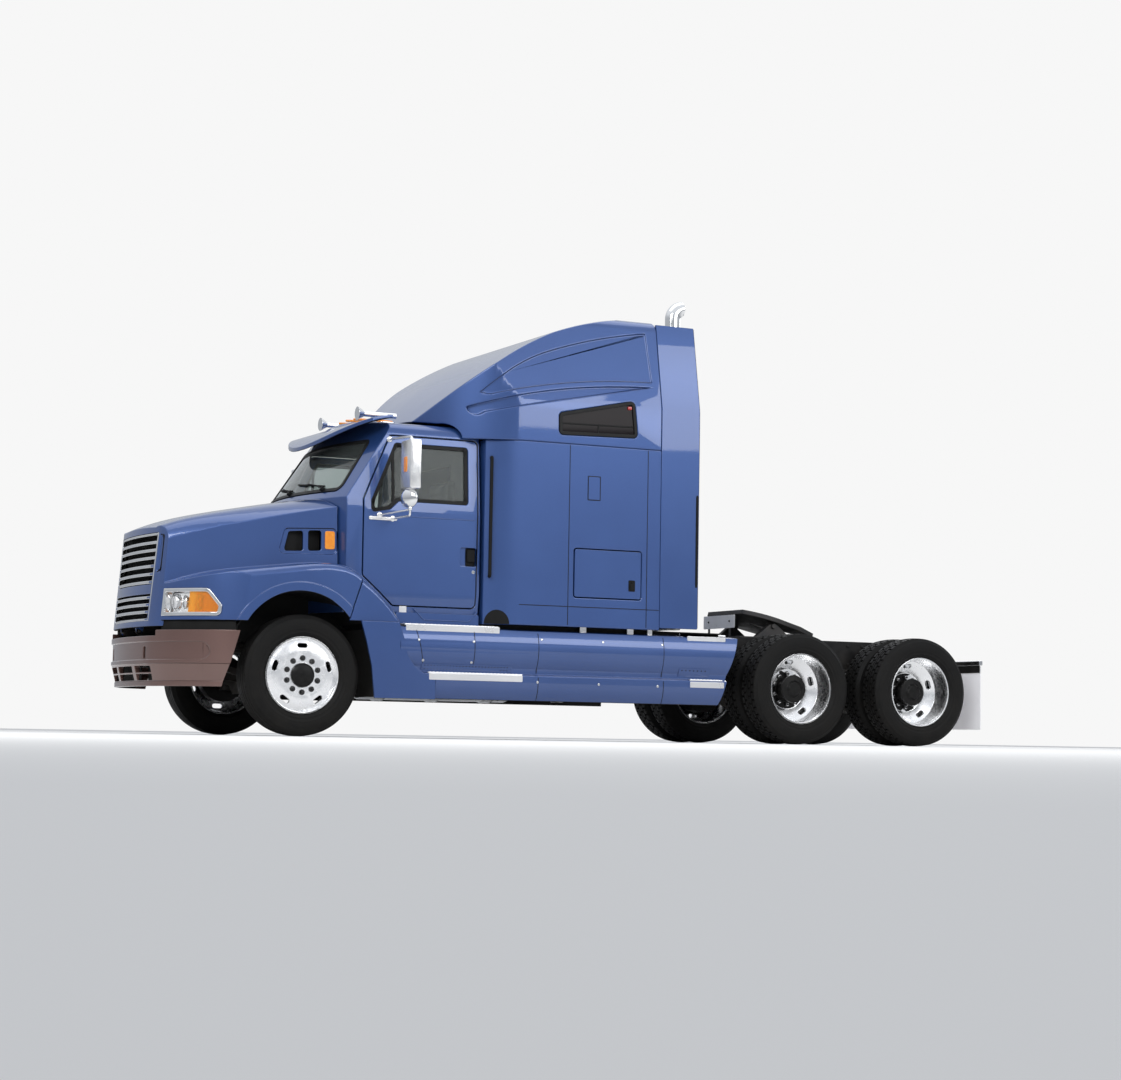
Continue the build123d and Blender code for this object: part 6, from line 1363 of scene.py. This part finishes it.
def stuffed(size, voxel, pull):
    """A crowned pad of a given size about the origin, drawn in along its sides and blown up as cloth."""
    bpy.ops.object.select_all(action="DESELECT")
    bpy.ops.mesh.primitive_cube_add(size=1.0, scale=size)
    pad = bpy.context.object
    bpy.ops.object.transform_apply(location=True, rotation=True, scale=True)
    open_mesh(pad)
    bpy.ops.mesh.subdivide(number_cuts=9)
    bpy.ops.object.mode_set(mode="OBJECT")
    for point in pad.data.vertices:
        share = [2.0 * point.co[way] / size[way] for way in range(3)]
        point.co.x -= pull * share[0] * max(0.0, 1.0 - share[1] ** 2)
        point.co.y -= pull * share[1] * max(0.0, 1.0 - share[0] ** 2)
        point.co.z *= 1.0 - 0.30 * max(abs(share[0]), abs(share[1])) ** 4
    round_off(pad, 0.012, 2, 50.0)
    work(pad, "REMESH", mode="VOXEL", voxel_size=voxel)
    rest = [point.co.copy() for point in pad.data.vertices]
    pick_up(pad)
    bpy.ops.object.modifier_add(type="CLOTH")
    cloth = pad.modifiers[-1]
    cloth.settings.use_pressure = True
    cloth.settings.uniform_pressure_force = 4.0
    cloth.settings.effector_weights.gravity = 0.0
    for step in range(1, 21):
        bpy.context.scene.frame_set(step)
    bpy.ops.object.modifier_apply(modifier=cloth.name)
    for point, before in zip(pad.data.vertices, rest):
        moved = point.co - before
        if moved.length > PUFF_LIMIT:
            point.co = before + moved.normalized() * PUFF_LIMIT
    bpy.context.scene.frame_set(1)
    work(pad, "SMOOTH", factor=0.5, iterations=4)
    return pad


def sew(pad, places, depth, width):
    """Draws in sewn channels across a pad's upper face at places along it."""
    for across in places:
        for point in pad.data.vertices:
            if point.co.z > 0.0:
                near = (point.co.x - across) / width
                point.co.z -= depth * math.exp(-near * near)


def piping(pad, half_x, half_y, high, radius):
    """A piped seam laid on a pad's surface round its upper edge."""
    surface = surface_of(pad.data)
    route = [surface.find_nearest(Vector((x * 1.05, y * 1.05, high)))[0]
             for x, y in rounded(-half_x, half_x, -half_y, half_y, 0.06, 6)]
    return bent_tube(route + route[:1], radius, 0.004, 2)


def cover(piece, name, fabric):
    """Smooths a soft piece and fixes it in the cab."""
    pick_up(piece)
    bpy.ops.object.shade_smooth()
    return fix_on(piece, name, "chassis", "seat_fabric", fabric)


cushion = stuffed((0.520, 0.440, 0.105), 0.015, 0.012)
sew(cushion, (-0.120, 0.0, 0.120), 0.010, 0.012)
back = stuffed((0.700, 0.440, 0.095), 0.015, 0.016)
sew(back, (-0.200, -0.080, 0.040, 0.200), 0.010, 0.012)
for pad in (cushion, back):
    work(pad, "SUBSURF", levels=1, render_levels=1)
cushion_piping = piping(cushion, 0.250, 0.210, 0.042, 0.005)
back_piping = piping(back, 0.335, 0.208, 0.038, 0.005)
CUSHION_AT = Matrix.Translation(at(1.262, 0.0, 1.560)) @ Matrix.Rotation(math.radians(-1.5), 4, "Y")
BACK_AT = Matrix.Translation(at(1.508, 0.0, 1.950)) @ Matrix.Rotation(math.radians(-87.0), 4, "Y")
for label, side in SIDES:
    for pattern, where, name, fabric in (
        (cushion, CUSHION_AT, "seat_cushion", seat_cloth),
        (back, BACK_AT, "seat_back", seat_cloth),
        (cushion_piping, CUSHION_AT, "seat_cushion_piping", piping_cloth),
        (back_piping, BACK_AT, "seat_back_piping", piping_cloth),
    ):
        piece = bpy.data.objects.new(name, pattern.data.copy())
        bpy.context.scene.collection.objects.link(piece)
        piece.matrix_world = Matrix.Translation((0.0, side * SEAT_Y, 0.0)) @ where
        cover(piece, name + "_" + label, fabric)
        if piece.name == "seat_cushion_left":
            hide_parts("seats")
for pattern in (cushion, back, cushion_piping, back_piping):
    bpy.data.objects.remove(pattern)
stands = []
for side in (-1, 1):
    y = side * SEAT_Y
    stands.append(slab("z", 1.060, 1.420, y - 0.180, y + 0.180, 0.02, 1.105, 0.030, 0.004))
    stands.append(slab("z", 1.020, 1.540, y - 0.215, y + 0.215, 0.03, 1.478, 0.026, 0.006))
    stands += [ring(0.130, 0.024, at(1.240, y, 1.150 + fold * 0.038), UPRIGHT, 36) for fold in range(9)]
fix_on(join_up(stands, 45.0), "seat_pedestals", "chassis", "trim_black", inner_black)

# Bunk: a thick quilted mattress across the sleeper, on a black steel pan.
mattress = stuffed((0.760, 2.280, 0.120), 0.020, 0.010)
sew(mattress, (-0.200, 0.0, 0.200), 0.012, 0.020)
mattress_piping = piping(mattress, 0.365, 1.125, 0.045, 0.006)
for piece, name, fabric in (
    (mattress, "bunk_mattress", seat_cloth),
    (mattress_piping, "bunk_piping", piping_cloth),
):
    piece.location = at(2.905, 0.0, 1.785)
    cover(piece, name, fabric)
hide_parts("bunk")
pan = slab("z", 2.510, 3.300, -1.165, 1.165, 0.03, 1.700, 0.018, 0.003)
fix_on(pan, "bunk_pan", "chassis", "trim_black", inner_black)

# Exhaust mouths: a black disc across each turned-out pipe end for its dark bore, part soot and part painted
# shade, with a bright rolled lip.
MOUTH_FACING = Vector((0.997, 0.0, 0.078))
mouth_turn = MOUTH_FACING.to_track_quat("Z", "Y").to_euler()
lips, bore_soot_and_shade = [], []
for side in (-1, 1):
    mouth = at(3.680, side * STACK_Y, 3.975)
    bore_soot_and_shade.append(drum(0.062, 0.002, mouth, 40, mouth_turn))
    lips.append(ring(0.0655, 0.004, mouth - MOUTH_FACING * 0.001, mouth_turn))
fix_on(join_up(bore_soot_and_shade), "exhaust_bores", "chassis", "trim_black", inner_black)
fix_on(join_up(lips, 60.0), "exhaust_lips", "chassis", "bright_chrome", chrome)

# Rear deck: a bright tread plate bolted across the rails behind the sleeper, to stand on when
# the trailer's lines are coupled. Raised almond-shaped grips run in rows across it.
DECK_FRONT, DECK_REAR, DECK_HALF = 3.790, 4.480, 0.430
DECK_PITCH = 0.035
deck = slab("z", DECK_FRONT, DECK_REAR, -DECK_HALF, DECK_HALF, 0.020, 1.0005, 0.006, 0.0015)
fix_on(deck, "deck_plate", "chassis", "tank_alloy", tank_alloy)
almond = ball(0.010, (0.0, 0.0, 0.0), 8, 4, scale=(1.25, 0.42, 0.16))
bpy.ops.object.transform_apply(location=True, rotation=True, scale=True)
places = []
for column in range(19):
    for row in range(24):
        lean = math.radians(45.0 if (row + column) % 2 else -45.0)
        spot = at(DECK_FRONT + 0.030 + column * DECK_PITCH, -DECK_HALF + 0.030 + row * DECK_PITCH, 1.0065)
        places.append(Matrix.Translation(spot) @ Matrix.Rotation(lean, 4, "Z"))
fix_on(set_out(almond, places), "deck_grips", "chassis", "tank_alloy", tank_alloy)
bpy.data.objects.remove(almond)

# Sleeper's rear wall: sealed seams between its sheets, a black holder with two couplings and a
# socket for the trailer's lines, and two round work lamps.
REAR_WALL = 3.350
COUPLING_HIGH = 1.470
wall_seams = [bent_tube([at(REAR_WALL, across, 1.050), at(REAR_WALL, across, 2.600)], SEAM_R, 0.01, 1)
              for across in (-0.42, 0.42)]
fix_on(join_up(wall_seams), "rear_wall_seams", "chassis", "seal_rubber", seal_rubber)
holder = [slab("x", -0.190, 0.190, 1.400, 1.540, 0.020, REAR_WALL, 0.006, 0.002)]
couplings, lamps = [], []
for across, radius in ((-0.115, 0.036), (0.0, 0.042), (0.115, 0.036)):
    half = radius * 0.55
    couplings.append(ring(radius, 0.006, at(REAR_WALL + 0.007, across, COUPLING_HIGH), ALONG_X, 32))
    couplings.append(slab("x", across - half, across + half, COUPLING_HIGH - half, COUPLING_HIGH + half,
                          0.010, REAR_WALL + 0.005, 0.006, 0.002))
for across in (-0.66, 0.66):
    lamps.append(round_off(drum(0.062, 0.012, at(REAR_WALL + 0.006, across, 2.300), 40, ALONG_X), 0.005, 3))
    holder.append(ring(0.066, 0.007, at(REAR_WALL + 0.005, across, 2.300)))
fix_on(join_up(holder, 40.0), "rear_wall_holder", "chassis", "trim_black", inner_black)
fix_on(join_up(couplings, 40.0), "line_couplings", "chassis", "bright_chrome", step_alloy)
fix_on(join_up(lamps, 40.0), "work_lamp_lenses", "chassis", "lamp_lens", clear_lens)
